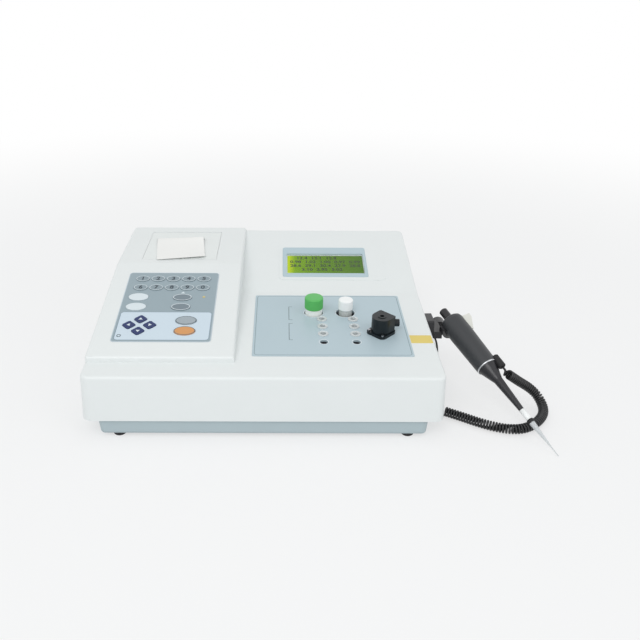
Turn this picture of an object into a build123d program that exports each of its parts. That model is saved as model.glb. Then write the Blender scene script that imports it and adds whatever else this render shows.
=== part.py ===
from build123d import *
import os
from math import atan, cos, degrees, pi, radians, sin, sqrt, tan

os.makedirs("parts", exist_ok=True)

# The frame is +Z up with the table at Z = 0, +X to the user's right and +Y to the back.
# The origin lies under the middle of the whole object, so the casing stands to its left.
MID_X = -51.83
FRONT_Y = -147.5

# Casing: drafted walls, a right roof in two slopes and a raised platform on the left
BASE_W = 353.0
BASE_D = 325.0
BASE_Z = 19.5
CORNER_R = 10.0
DRAFT = 2.0
WALL = 3.0
FRONT_H = 66.8
FRONT_LEAN = 1.7
ROOF_SLOPE = 4.2
ROOF_BREAK = 181.7
REAR_STEP = 2.0
PLATFORM_EDGE = -28.7
PLATFORM_FRONT = 26.7
PLATFORM_H = 74.6
KEY_SLOPE = 11.1
PRINTER_RUN = 126.2
PRINTER_SLOPE = 2.4
EDGE_R = 3.0
SKY = 140.0

# Base tray, feet and screws
TRAY_Z = 3.5
TRAY_INSET = 15.0
TRAY_CORNER_R = 5.0
TRAY_FRONT = 0.5
TRAY_LEAN = 6.0
TRAY_WALL = 2.5
TRAY_R = 3.0
FLANGE_T = 2.5
FLANGE_GAP = 0.4
POST_R = 4.5
POST_SIDE = 8.0
POST_FRONT = 32.0
POST_REAR = 37.0
SCREW_R = 1.25
SCREW_HEAD_R = 3.0
SCREW_HEAD_T = 2.0
SCREW_L = 12.0
PILOT_R = 1.3
FOOT_R = 6.0
FOOT_SIDE = 34.2
FOOT_INSET = 8.5

# Keypad, placed from the middle of the platform's front slope
KEYPAD_OFF = (-1.2, 1.41)
KEYPAD_W = 101.0
KEYPAD_L = 129.8
KEYPAD_R = 4.0
KEYPAD_T = 1.0
KEYPAD_PROUD = 0.2
KEYPAD_RIM = 4.5
KEY_PITCH = 17.1
KEY_GAP = 0.3
KEY_PROUD = 0.9
KEY_TRAVEL = 0.5
KEY_LIP = 0.7
KEY_LIP_T = 0.6
KEY_REST = 0.05
STEM_R = 3.0
BOARD_T = 1.6

# Display, placed from the middle of the right roof
DISPLAY_OFF = -4.4
DISPLAY_Y = 62.5
DISPLAY_W = 102.0
DISPLAY_L = 65.6
BEZEL_PROUD = 0.6
GLASS_OFF = 0.7
GLASS_Y = 58.9
GLASS_W = 93.2
GLASS_L = 43.5
GLASS_T = 1.2
GLASS_GAP = 0.1
DISPLAY_SEAT = -0.8
MODULE_T = 9.0
PAD_W = 126.0
PAD_L = 84.0
PAD_Y = 66.0
PAD_OFF = 3.6
PAD_PROUD = 0.7

# Incubator, its panel placed from the middle of the front roof and the rest from the panel
PANEL_OFF = (-5.2, 14.205)
PANEL_W = 161.7
PANEL_L = 132.4
PANEL_T = 2.0
PANEL_PROUD = 0.5
PANEL_RIM = 5.0
WELL_R = 4.1
WELL_OFF = (-8.1, 25.5)
WELL_FIRST = -38.5
WELL_PITCH = 16.0
CUVETTE_R = 3.8
CUVETTE_RIM_R = 5.5
CUVETTE_L = 21.0
WELL_DEPTH = 24.0
BOTTLE_OFF = (-16.4, 24.7)
BOTTLE_R = 9.3
BOTTLE_CAP_R = 10.0
BOTTLE_CAP_LOW = 7.0
BOTTLE_CAP_TOP = 20.0
VIAL_OFF = (18.2, 24.7)
VIAL_R = 7.2
VIAL_CAP_R = 7.9
VIAL_CAP_LOW = 6.0
VIAL_CAP_TOP = 17.3
BOTTLE_HOLE_R = 10.2
BOTTLE_DEPTH = 26.0
NECK_L = 8.0
CAP_FIT = 0.1
BLOCK_X = (-32.7, 71.3)
BLOCK_Y = (-51.3, 56.7)
BLOCK_T = 34.0
HEAD_OFF = (52.3, -19.3)
HEAD_H = 20.0
HEAD_R = 10.4
HEAD_BORE_R = 2.25
FLANGE_SIDE = 23.4
FLANGE_R = 4.5
HEAD_FLANGE_T = 3.0
HEAD_SCREW_AT = 12.7
HEAD_SCREW_R = 1.5
PORT_R = 4.0
PORT_REACH = 18.8

# Printer, its lid placed from the middle of the platform and the rest from the lid
LID_OFF = -0.2
LID_Y = 56.3
LID_W = 86.4
LID_L = 90.8
LID_T = 3.0
LID_GAP = 0.3
LID_TURN_PLAY = 0.04
LEDGE = 3.5
PIN_R = 0.8
PIN_L = 2.2
PIN_PLAY = 0.06
SLOT_OFF = (-5.4, 20.4)
PAPER_W = 57.0
PAPER_T = 0.25
SLOT_W = 2.2
TUB_DEPTH = 52.0
TUB_WALL = 2.0
ROLL_R = 20.0
ROLL_OFF = -20.3
ROLL_Z = -28.0
SPINDLE_R = 6.2
PLATEN_R = 6.0
PLATEN_SHAFT_R = 2.0
PLATEN_Z = -16.0
SHAFT_PLAY = 0.05
MOTOR_R = 9.0
MOTOR_L = 16.0

# Electronics
STANDOFF_H = 6.0
MAIN_BOARD = (150.0, 106.0)
BOARD_GAP = 25.5
BOARD_REAR = 36.0
SUPPLY = (88.0, 62.0, 38.0)
SUPPLY_SIDE = 28.0
SUPPLY_REAR = 39.0
SUPPLY_VENT = 44.0
INLET_SIDE = 56.5
INLET_Z = 42.0
SWITCH_PITCH = 44.0

# Pipette, measured along its axis from the end of the tip. Its points, the holder's and the cord's
# are placed from the right wall's foot, the front top edge and the table
TIP_AT = (103.3, -31.5, 0.9)
REAR_AT = (28.3, 117.8, 67.9)
TIP_L = 42.0
TIP_R = 3.0
TIP_SEAT = 45.0
SEAT_GAP = 0.1
NOSE_TIP_FROM = 34.0
SPIGOT_R = (1.9, 2.1)
NECK_R = 2.5
NOSE_FROM = 58.0
NOSE_TO = 118.0
NOSE_R = (2.7, 4.7, 10.6)
NOSE_BEND = 98.0
GRIP_TO = 188.0
GRIP_R = 12.7
GRIP_FRONT_R = 11.5
GRIP_TAPER_TO = 165.0
PLUNGER_R = 4.6
PLUNGER_FROM = 176.0
PLUNGER_END = 203.0
PLUNGER_TRAVEL = 8.0
PLUNGER_FIT = 0.05
STOP_GAP = 0.2
THUMB_ANGLE = 12.0
THUMB_FROM = 170.0
THUMB_TO = 184.0
THUMB_ROOT = 9.2
THUMB_T = 2.4
THUMB_TRAVEL = 4.0
THUMB_SIDE_PLAY = 0.1
FIN_PROUD = 0.3
FIN_SHAPE = [(0.0, -2.0), (2.8, -3.0), (10.2, 12.0), (10.6, 17.0), (0.0, 17.0)]
BOOT_ANGLE = 43.0
BOOT_AT = 12.0
BOOT_R = 4.0

# Holder on the right wall
HOLDER_Y = 127.5
HOLDER_Z = 62.5
HOLDER_W = 23.0
HOLDER_H = 21.0
HOLDER_T = 8.0
CRADLE_AT = 180.0
CRADLE_T = 7.0
CRADLE_WALL = 3.5
KNOB_R = 7.7
KNOB_AT = (17.8, 147.0, 54.0)
ARM_AT = (11.0, 131.0, 57.0)
ARM_SIZE = (9.0, 32.0, 8.0)

# Cord: one wire, straight from the casing's gland and then curled up to the pipette
WIRE_R = 1.0
CURL_R = 4.0
CURL_PITCH = 3.25
STATIONS = 16
GLAND_Y = 175.0
GLAND_Z = 30.5
GLAND_L = 9.0
LEAD_POINTS = [
    (18.0, 175.0, 31.0),
    (23.0, 167.5, 22.5),
    (22.0, 154.0, 10.0),
    (17.5, 137.0, 2.6),
    (11.0, 119.0, 1.2),
    (4.5, 100.0, 1.2),
    (-0.5, 82.0, 1.3),
    (-2.0, 66.0, 2.4),
    (0.7, 53.0, 4.6),
    (5.2, 45.2, 5.3),
]
CURL_POINTS = [
    (9.5, 41.6, 5.3),
    (24.7, 29.0, 5.3),
    (39.6, 15.9, 5.3),
    (53.0, 7.0, 5.3),
    (68.0, 4.0, 5.3),
    (84.0, 8.4, 5.3),
    (99.0, 20.2, 5.3),
    (112.1, 36.0, 5.6),
    (120.1, 53.0, 9.6),
    (117.3, 65.5, 17.6),
    (106.0, 69.3, 26.0),
    (91.5, 63.5, 33.6),
    (72.7, 51.5, 43.4),
]
PAD_R = 6.0
BEZEL_R = 3.0
DISPLAY_LEDGE = 2.0
PANEL_R = 2.0
INLET_HOLE = (27.4, 20.0)
SWITCH_HOLE = (22.0, 14.0)
ROCKER_WELL = (17.0, 12.2)
ROCKER_AXIS = -1.5
ROCKER_SHAPE = [(-4.6, 2.6), (0, 3.6), (4.6, 5.4), (4.6, 0.5), (2.5, -3.5), (-2.5, -3.5), (-4.6, 0.5)]
GLAND_HOLE_R = 4.5
WIRE_PLAY = 0.25
BOOT_FROM = 107.0
BOOT_L = 15.0
CRADLE_FIT = 0.35
CRADLE_TOP = -0.5

FRONT_BASE_Y = FRONT_Y - FRONT_LEAN
MID_Y = FRONT_BASE_Y + BASE_D / 2
WALL_X = BASE_W / 2
LEFT_X = (PLATFORM_EDGE - WALL_X) / 2
RIGHT_X = (PLATFORM_EDGE + WALL_X) / 2
PLATFORM_BREAK = BASE_D - PRINTER_RUN
KEY_RUN = PLATFORM_BREAK - PLATFORM_FRONT
BREAK_H = FRONT_H + ROOF_BREAK * tan(radians(ROOF_SLOPE))
KEY_END_H = PLATFORM_H + KEY_RUN * tan(radians(KEY_SLOPE))
PRINTER_END_H = KEY_END_H + PRINTER_RUN * tan(radians(PRINTER_SLOPE))
DISPLAY_SLOPE = degrees(atan((PRINTER_END_H - REAR_STEP - BREAK_H) / (BASE_D - ROOF_BREAK)))
KEYPAD_X = LEFT_X + KEYPAD_OFF[0]
KEYPAD_Y = KEY_RUN / cos(radians(KEY_SLOPE)) / 2 + KEYPAD_OFF[1]
LID_X = LEFT_X + LID_OFF
SLOT_X = LID_X + SLOT_OFF[0]
SLOT_Y = LID_Y + SLOT_OFF[1]
ROLL_Y = LID_Y + ROLL_OFF
DISPLAY_X = RIGHT_X + DISPLAY_OFF
GLASS_X = DISPLAY_X + GLASS_OFF
PAD_X = RIGHT_X + PAD_OFF
PANEL_X = RIGHT_X + PANEL_OFF[0]
PANEL_Y = ROOF_BREAK / cos(radians(ROOF_SLOPE)) / 2 + PANEL_OFF[1]
BOTTLE_AT = (PANEL_X + BOTTLE_OFF[0], PANEL_Y + BOTTLE_OFF[1])
VIAL_AT = (PANEL_X + VIAL_OFF[0], PANEL_Y + VIAL_OFF[1])
HEAD_AT = (PANEL_X + HEAD_OFF[0], PANEL_Y + HEAD_OFF[1])
INLET_X = -WALL_X + INLET_SIDE
SWITCH_X = INLET_X + SWITCH_PITCH
SUPPLY_X = -WALL_X + SUPPLY_SIDE + SUPPLY[0] / 2
SUPPLY_Y = BASE_D - SUPPLY_REAR - SUPPLY[1] / 2
BOARD_X = SUPPLY_X + SUPPLY[0] / 2 + BOARD_GAP + MAIN_BOARD[0] / 2
BOARD_Y = BASE_D - BOARD_REAR - MAIN_BOARD[1] / 2
KEY_UNDER = -WALL * cos(radians(KEY_SLOPE))
DISPLAY_UNDER = -WALL * cos(radians(DISPLAY_SLOPE))
PANEL_UNDER = PANEL_PROUD - PANEL_T


def sloped(y, z, slope):
    """A plane over the casing's middle line, tilted back by slope, with its own Y running up the slope."""
    tilt = radians(slope)
    return Plane(origin=(MID_X, FRONT_Y + y, z), x_dir=(1, 0, 0), z_dir=(0, -sin(tilt), cos(tilt)))


roof_plane = sloped(0, FRONT_H, ROOF_SLOPE)
display_plane = sloped(ROOF_BREAK, BREAK_H, DISPLAY_SLOPE)
key_plane = sloped(PLATFORM_FRONT, PLATFORM_H, KEY_SLOPE)
printer_plane = sloped(PLATFORM_BREAK, KEY_END_H, PRINTER_SLOPE)


def lean_in(z):
    """How far a drafted wall has come in at height z."""
    return (z - BASE_Z) * tan(radians(DRAFT))


def rear_plane(x, z):
    """A plane on the rear wall, facing back, with its own Y up the wall."""
    tilt = radians(DRAFT)
    y = FRONT_BASE_Y + BASE_D - lean_in(z)
    return Plane(origin=(MID_X + x, y, z), x_dir=(-1, 0, 0), z_dir=(0, cos(tilt), sin(tilt)))


def side_plane(y, z):
    """A plane on the right wall, facing right, with its own X to the back and its own Y up the wall."""
    tilt = radians(DRAFT)
    x = MID_X + BASE_W / 2 - lean_in(z)
    return Plane(origin=(x, FRONT_Y + y, z), x_dir=(0, 1, 0), z_dir=(cos(tilt), 0, sin(tilt)))


def plate(plane, centre, size, low, high, radius=0.0, mode=Mode.ADD):
    """Adds or cuts a plate of width and length size between two heights over a plane."""
    with BuildSketch(plane.offset(low)) as outline:
        with Locations(centre):
            if radius:
                RectangleRounded(size[0], size[1], radius)
            else:
                Rectangle(size[0], size[1])
    extrude(outline.sketch, amount=high - low, mode=mode)


def discs(plane, places, radius, low, high, mode=Mode.ADD):
    """Adds or cuts equal round pins between two heights over a plane."""
    with BuildSketch(plane.offset(low)) as outline:
        with Locations(*places):
            Circle(radius)
    extrude(outline.sketch, amount=high - low, mode=mode)


def save(builder, name):
    """Labels a finished piece and writes its file."""
    builder.part.label = name
    export_step(builder.part, f"parts/{name}.step")


def outer_face(part, plane, sign=1):
    """The face that lies furthest along a plane's normal, or against it with sign -1."""
    return max(part.faces(), key=lambda face: sign * plane.to_local_coords(face.center()).Z)


def roof_line(drop):
    """Side view of the right roof, lowered by drop."""
    back = BASE_D - ROOF_BREAK
    return [
        (FRONT_Y - BASE_D, FRONT_H - BASE_D * tan(radians(ROOF_SLOPE)) - drop),
        (FRONT_Y + ROOF_BREAK, BREAK_H - drop),
        (FRONT_Y + BASE_D, BREAK_H + back * tan(radians(DISPLAY_SLOPE)) - drop),
    ]


def platform_line(drop):
    """Side view of the platform's top, lowered by drop and set back by it at the front step."""
    back = BASE_D - PLATFORM_BREAK
    return [
        (FRONT_Y + PLATFORM_FRONT + drop, PLATFORM_H + drop * tan(radians(KEY_SLOPE)) - drop),
        (FRONT_Y + PLATFORM_BREAK, KEY_END_H - drop),
        (FRONT_Y + BASE_D, KEY_END_H + back * tan(radians(PRINTER_SLOPE)) - drop),
    ]


def drafted_block(inset):
    """The casing's walls without a roof, pulled in by inset."""
    with BuildPart() as block:
        with BuildSketch(Plane.XY.offset(BASE_Z)):
            with Locations((MID_X, MID_Y)):
                RectangleRounded(BASE_W - 2 * inset, BASE_D - 2 * inset, CORNER_R - inset)
        extrude(amount=SKY, taper=DRAFT)
    return block.part


def casing_form(inset):
    """The casing as a solid with sharp roof edges, pulled in by inset everywhere but at its foot."""
    left_of_casing = Plane.YZ.offset(MID_X - BASE_W)
    with BuildPart() as under_roof:
        line = roof_line(inset)
        with BuildSketch(left_of_casing):
            with BuildLine():
                Polyline(*line, (line[-1][0], 0), (line[0][0], 0), close=True)
            make_face()
        extrude(amount=2 * BASE_W)
        add(drafted_block(inset), mode=Mode.INTERSECT)
    with BuildPart() as under_platform:
        line = platform_line(inset)
        with BuildSketch(left_of_casing):
            with BuildLine():
                Polyline(*line, (line[-1][0], 0), (line[0][0], 0), close=True)
            make_face()
        extrude(amount=BASE_W + PLATFORM_EDGE - inset)
        add(drafted_block(inset), mode=Mode.INTERSECT)
    with BuildPart() as whole:
        add(under_roof.part)
        add(under_platform.part)
    return whole.part


def upright(edge):
    return edge.geom_type == GeomType.LINE and abs(edge.tangent_at(0.5).Z) > 0.9


def platform_edges(part):
    """The platform's right and front upper edges."""
    near = EDGE_R / 10
    chosen = []
    for edge in part.edges():
        at = edge.center()
        tops = [abs(plane.to_local_coords(at).Z) for plane in (key_plane, printer_plane)]
        side = abs(at.X - MID_X - PLATFORM_EDGE) < near
        front = abs(at.Y - FRONT_Y - PLATFORM_FRONT) < near
        if min(tops) < near and (side or front) and not upright(edge):
            chosen.append(edge)
    return chosen


def rim_edges(part):
    """The roof's edges round the outside of the casing."""
    low = FRONT_H - EDGE_R
    chosen = []
    for edge in part.edges():
        at = edge.center()
        outside = abs(at.X - MID_X) > BASE_W / 2 - 3 * WALL - lean_in(SKY)
        ends = abs(at.Y - MID_Y) > BASE_D / 2 - 2 * WALL - lean_in(SKY)
        if at.Z > low and edge.length > EDGE_R and (outside or ends) and not upright(edge):
            chosen.append(edge)
    return chosen


outer_form = casing_form(0)
inner_form = casing_form(WALL)
post_x = WALL_X - POST_SIDE
post_y = (POST_FRONT, (POST_FRONT + BASE_D - POST_REAR) / 2, BASE_D - POST_REAR)
post_places = [(MID_X + side * post_x, FRONT_Y + y) for side in (-1, 1) for y in post_y]
post_foot = BASE_Z + FLANGE_T

with BuildPart() as posts:
    discs(Plane.XY, post_places, POST_R, post_foot, SKY)
    add(outer_form, mode=Mode.INTERSECT)

# Top casing, with its roof openings, posts and wall holes
lid_recess = (LID_W + 2 * LID_GAP, LID_L + 2 * LID_GAP)
lid_opening = (LID_W - 2 * LEDGE, LID_L - 2 * LEDGE)
lid_frame = (LID_W + 8, LID_L + 8)
frame_under = -2 * LID_T
pin_y = LID_Y + LID_L / 2 - LID_T / 2
pin_z = -LID_T / 2
keypad_recess = (KEYPAD_W, KEYPAD_L)
panel_recess = (PANEL_W, PANEL_L)
keypad_opening = (KEYPAD_W - 2 * KEYPAD_RIM, KEYPAD_L - 2 * KEYPAD_RIM)
panel_opening = (PANEL_W - 2 * PANEL_RIM, PANEL_L - 2 * PANEL_RIM)
bezel_recess = (DISPLAY_W, DISPLAY_L)
glass_opening = (GLASS_W - 2 * DISPLAY_LEDGE, GLASS_L - 2 * DISPLAY_LEDGE)
inlet_plane = rear_plane(INLET_X, INLET_Z)
switch_plane = rear_plane(SWITCH_X, INLET_Z)
gland_plane = side_plane(GLAND_Y, GLAND_Z)
pin_line = Plane(
    origin=printer_plane.from_local_coords(Vector(LID_X, pin_y, pin_z)),
    x_dir=(0, 1, 0),
    z_dir=(1, 0, 0),
)
with BuildPart() as top_casing:
    add(outer_form)
    fillet(platform_edges(top_casing.part), EDGE_R)
    fillet(rim_edges(top_casing.part), EDGE_R)
    plate(display_plane, (PAD_X, PAD_Y), (PAD_W, PAD_L), -WALL / 2, PAD_PROUD, PAD_R)
    add(inner_form, mode=Mode.SUBTRACT)
    add(posts.part)
    discs(Plane.XY, post_places, PILOT_R, post_foot, post_foot + SCREW_L, Mode.SUBTRACT)
    plate(printer_plane, (LID_X, LID_Y), lid_frame, frame_under, -WALL / 2)
    plate(printer_plane, (LID_X, LID_Y), lid_recess, -LID_T, SKY, mode=Mode.SUBTRACT)
    plate(printer_plane, (LID_X, LID_Y), lid_opening, -SKY / 8, SKY, mode=Mode.SUBTRACT)
    discs(pin_line, [(0, 0)], PIN_R + PIN_PLAY, -LID_W / 2 - 3, LID_W / 2 + 3, Mode.SUBTRACT)
    plate(key_plane, (KEYPAD_X, KEYPAD_Y), keypad_recess, -KEYPAD_T, SKY, KEYPAD_R, Mode.SUBTRACT)
    plate(key_plane, (KEYPAD_X, KEYPAD_Y), keypad_opening, -SKY / 8, SKY, KEYPAD_R, Mode.SUBTRACT)
    plate(display_plane, (DISPLAY_X, DISPLAY_Y), bezel_recess, DISPLAY_SEAT, SKY, BEZEL_R, Mode.SUBTRACT)
    plate(display_plane, (GLASS_X, GLASS_Y), glass_opening, -SKY / 8, SKY, mode=Mode.SUBTRACT)
    plate(roof_plane, (PANEL_X, PANEL_Y), panel_recess, PANEL_UNDER, SKY, PANEL_R, Mode.SUBTRACT)
    plate(roof_plane, (PANEL_X, PANEL_Y), panel_opening, -SKY / 8, SKY, PANEL_R, Mode.SUBTRACT)
    plate(inlet_plane, (0, 0), INLET_HOLE, -2 * WALL, WALL, mode=Mode.SUBTRACT)
    plate(switch_plane, (0, 0), SWITCH_HOLE, -2 * WALL, WALL, mode=Mode.SUBTRACT)
    discs(gland_plane, [(0, 0)], GLAND_HOLE_R, -2 * WALL, WALL, Mode.SUBTRACT)
save(top_casing, "top_casing")


# Base tray: a pan narrower than the casing, with a flange inside the casing's walls
def pan(z, inset, top):
    """A level outline of the pan's leaning sides at height z, pulled in by inset."""
    lean = (top - z) * tan(radians(TRAY_LEAN))
    front = FRONT_Y + TRAY_FRONT + inset
    back = FRONT_BASE_Y + BASE_D - TRAY_INSET - lean - inset
    width = BASE_W - 2 * (TRAY_INSET + lean + inset)
    with BuildSketch(Plane.XY.offset(z)) as outline:
        with Locations((MID_X, (front + back) / 2)):
            RectangleRounded(width, back - front, TRAY_CORNER_R - inset)
    return outline.sketch


tray_floor = TRAY_Z + TRAY_WALL
flange_inset = WALL + FLANGE_GAP
flange_size = (BASE_W - 2 * flange_inset, BASE_D - 2 * flange_inset)
board_corners = []
for side in (-1, 1):
    for end in (-1, 1):
        board_x = BOARD_X + side * (MAIN_BOARD[0] / 2 - 6)
        board_y = BOARD_Y + end * (MAIN_BOARD[1] / 2 - 6)
        board_corners.append((MID_X + board_x, FRONT_Y + board_y))
with BuildPart() as base_tray:
    add([pan(TRAY_Z, 0, BASE_Z), pan(BASE_Z, 0, BASE_Z)])
    loft()
    fillet(base_tray.faces().sort_by(Axis.Z)[0].edges(), TRAY_R)
    plate(Plane.XY, (MID_X, MID_Y), flange_size, BASE_Z, post_foot, CORNER_R - flange_inset)
    with BuildPart(mode=Mode.SUBTRACT):
        add([pan(tray_floor, TRAY_WALL, BASE_Z), pan(post_foot, TRAY_WALL, BASE_Z)])
        loft()
    discs(Plane.XY, post_places, SCREW_R + 0.4, BASE_Z, post_foot, Mode.SUBTRACT)
    discs(Plane.XY, board_corners, 3.5, tray_floor - 1, tray_floor + STANDOFF_H)
save(base_tray, "base_tray")

with BuildPart() as feet:
    rear_foot = BASE_D - FRONT_LEAN - TRAY_INSET - FOOT_INSET - 3
    foot_y = (FRONT_Y + FOOT_INSET, FRONT_Y + rear_foot)
    foot_x = WALL_X - FOOT_SIDE
    foot_places = [(MID_X + side * foot_x, y) for side in (-1, 1) for y in foot_y]
    discs(Plane.XY, foot_places, FOOT_R, 0, TRAY_Z)
    chamfer(feet.faces().filter_by(Plane.XY).group_by(Axis.Z)[0].edges(), 0.6)
save(feet, "feet")

with BuildPart() as case_screws:
    discs(Plane.XY, post_places, SCREW_HEAD_R, BASE_Z - SCREW_HEAD_T, BASE_Z)
    discs(Plane.XY, post_places, SCREW_R, BASE_Z, BASE_Z + SCREW_L)
save(case_screws, "case_screws")

# Printer: lid with a paper slot, hinged on two pins at its rear edge
with BuildPart() as printer_lid:
    lid_flat = pin_y - (LID_Y - LID_L / 2)
    plate(printer_plane, (LID_X, pin_y - lid_flat / 2), (LID_W, lid_flat), -LID_T, 0)
    discs(pin_line, [(0, 0)], LID_T / 2 - LID_TURN_PLAY, -LID_W / 2, LID_W / 2)
    plate(printer_plane, (SLOT_X, SLOT_Y), (PAPER_W + 2, SLOT_W), -SKY, SKY, mode=Mode.SUBTRACT)
    plate(printer_plane, (LID_X, LID_Y - LID_L / 2 + 5), (26, 3), -1, 1, 1.4, Mode.SUBTRACT)
    discs(pin_line, [(0, 0)], PIN_R, -LID_W / 2 - PIN_L, LID_W / 2 + PIN_L)
save(printer_lid, "printer_lid")

paper_route = [(SLOT_Y, -2.6), (SLOT_Y, 4.6), (SLOT_Y - 22, 0.9), (SLOT_Y - 41, 1.9), (SLOT_Y - 60, 6.5)]
paper_points = [printer_plane.from_local_coords(Vector(SLOT_X, y, z)) for y, z in paper_route]
with BuildPart() as paper_tongue:
    with BuildLine():
        strip = FilletPolyline(*paper_points, radius=[2.6, 28, 40])
    with BuildSketch(Plane(origin=strip @ 0, x_dir=(1, 0, 0), z_dir=strip % 0)):
        Rectangle(PAPER_W, PAPER_T)
    sweep(path=strip)
save(paper_tongue, "paper_tongue")

tub = (lid_opening[0] + 2 * TUB_WALL, lid_opening[1] + 2 * TUB_WALL)
tub_floor = frame_under - TUB_DEPTH + 4
tub_right = LID_X + tub[0] / 2
tub_left = LID_X - tub[0] / 2


def across(y, z):
    """A plane at the paper's middle, facing right, on a line across the printer."""
    at = printer_plane.from_local_coords(Vector(SLOT_X, y, z))
    return Plane(origin=at, x_dir=(0, 1, 0), z_dir=(1, 0, 0))


platen_line = across(SLOT_Y, PLATEN_Z)
roll_line = across(ROLL_Y, ROLL_Z)
with BuildPart() as printer_chassis:
    plate(printer_plane, (LID_X, LID_Y), tub, tub_floor, frame_under)
    plate(printer_plane, (LID_X, LID_Y), lid_opening, tub_floor + TUB_WALL, SKY, mode=Mode.SUBTRACT)
    discs(platen_line, [(0, 0)], PLATEN_SHAFT_R + SHAFT_PLAY, -tub[0], tub[0], Mode.SUBTRACT)
save(printer_chassis, "printer_chassis")

inner_left = tub_left + TUB_WALL - SLOT_X
inner_right = tub_right - TUB_WALL - SLOT_X
with BuildPart() as roll_spindle:
    discs(roll_line, [(0, 0)], SPINDLE_R, inner_left, inner_right)
save(roll_spindle, "roll_spindle")

with BuildPart() as paper_roll:
    discs(roll_line, [(0, 0)], ROLL_R, -PAPER_W / 2, PAPER_W / 2)
    discs(roll_line, [(0, 0)], SPINDLE_R + SHAFT_PLAY, -PAPER_W, PAPER_W, Mode.SUBTRACT)
save(paper_roll, "paper_roll")

with BuildPart() as platen_roller:
    discs(platen_line, [(0, 0)], PLATEN_R, -PAPER_W / 2 - 1.5, PAPER_W / 2 + 1.5)
    discs(platen_line, [(0, 0)], PLATEN_SHAFT_R, inner_left - TUB_WALL, inner_right + TUB_WALL)
save(platen_roller, "platen_roller")

rear_inside = LID_Y + lid_opening[1] / 2
head_front = SLOT_Y + PLATEN_R + 0.1
with BuildPart() as thermal_head:
    head_middle = (head_front + rear_inside) / 2
    head_size = (PAPER_W + 5, rear_inside - head_front)
    plate(printer_plane, (SLOT_X, head_middle), head_size, PLATEN_Z - 2, PLATEN_Z + 2)
    plate(printer_plane, (SLOT_X, head_front + 2), (PAPER_W + 5, 4), PLATEN_Z - 6, PLATEN_Z + 6)
save(thermal_head, "thermal_head")

motor_face = tub_right - SLOT_X
with BuildPart() as feed_motor:
    discs(platen_line, [(0, 0)], MOTOR_R, motor_face, motor_face + MOTOR_L)
    discs(platen_line, [(0, 0)], MOTOR_R / 3, motor_face + MOTOR_L, motor_face + MOTOR_L + 2)
save(feed_motor, "feed_motor")

# Keypad: twenty keys standing in a printed overlay over one board
oval_digit = (7.5, 5.6)
oval_white = (10.7, 6.75)
oval_dark = (10.1, 6.25)
oval_entry = (10.95, 7.3)
arrow_side = 10.5
digit_x = [KEYPAD_X + column * KEY_PITCH for column in (-2, -1, 0, 1, 2)]
keys = []
for row, along in enumerate((51.6, 33.8)):
    for column, x in enumerate(digit_x):
        keys.append((f"key_{(row * 5 + column + 1) % 10}", (x, KEYPAD_Y + along), oval_digit))
keys.append(("key_print", (KEYPAD_X - 33.7, KEYPAD_Y + 15.1), oval_white))
keys.append(("key_reset", (KEYPAD_X - 33.7, KEYPAD_Y - 3.3), oval_white))
keys.append(("key_menu", (KEYPAD_X + 13.8, KEYPAD_Y + 14.4), oval_dark))
keys.append(("key_test", (KEYPAD_X + 13.8, KEYPAD_Y - 3.6), oval_dark))
keys.append(("key_enter", (KEYPAD_X + 22.1, KEYPAD_Y - 28.3), oval_entry))
keys.append(("key_cancel", (KEYPAD_X + 22.3, KEYPAD_Y - 46.4), oval_entry))
arrows = [
    ("key_up", (KEYPAD_X - 25.1, KEYPAD_Y - 26.3)),
    ("key_down", (KEYPAD_X - 25.1, KEYPAD_Y - 46.7)),
    ("key_left", (KEYPAD_X - 35.8, KEYPAD_Y - 36.5)),
    ("key_right", (KEYPAD_X - 14.4, KEYPAD_Y - 36.5)),
]


def oval(centre, radii, grow, low, high, mode=Mode.ADD):
    with BuildSketch(key_plane.offset(low)) as outline:
        with Locations(centre):
            Ellipse(radii[0] + grow, radii[1] + grow)
    extrude(outline.sketch, amount=high - low, mode=mode)


def diamond(centre, grow, low, high, mode=Mode.ADD):
    with BuildSketch(key_plane.offset(low)) as outline:
        with Locations(Location(centre, 45)):
            side = arrow_side + 2 * grow
            RectangleRounded(side, side, side / 5)
    extrude(outline.sketch, amount=high - low, mode=mode)


lip_top = -KEYPAD_T - KEY_REST
lip_under = lip_top - KEY_LIP_T
stem_end = KEY_UNDER + KEY_TRAVEL
with BuildPart() as keypad_overlay:
    overlay_size = (KEYPAD_W - 0.2, KEYPAD_L - 0.2)
    plate(key_plane, (KEYPAD_X, KEYPAD_Y), overlay_size, -KEYPAD_T, KEYPAD_PROUD, KEYPAD_R)
    for name, centre, radii in keys:
        oval(centre, radii, KEY_GAP, -KEYPAD_T, KEYPAD_PROUD, Mode.SUBTRACT)
    for name, centre in arrows:
        diamond(centre, KEY_GAP, -KEYPAD_T, KEYPAD_PROUD, Mode.SUBTRACT)
save(keypad_overlay, "keypad_overlay")

with BuildPart() as keypad_board:
    board_size = (KEYPAD_W - 4, KEYPAD_L - 4)
    plate(key_plane, (KEYPAD_X, KEYPAD_Y), board_size, KEY_UNDER - BOARD_T, KEY_UNDER)
    plate(key_plane, (KEYPAD_X, KEYPAD_Y - 40), (30, 8), KEY_UNDER - BOARD_T - 6, KEY_UNDER - BOARD_T)
save(keypad_board, "keypad_board")

for name, centre, radii in keys:
    with BuildPart() as key:
        oval(centre, radii, 0, lip_top, KEY_PROUD)
        oval(centre, radii, KEY_LIP, lip_under, lip_top)
        discs(key_plane, [centre], STEM_R, stem_end, lip_under)
        fillet(outer_face(key.part, key_plane).edges(), 0.4)
    save(key, name)

for name, centre in arrows:
    with BuildPart() as key:
        diamond(centre, 0, lip_top, KEY_PROUD)
        diamond(centre, KEY_LIP, lip_under, lip_top)
        discs(key_plane, [centre], STEM_R, stem_end, lip_under)
    save(key, name)

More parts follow.
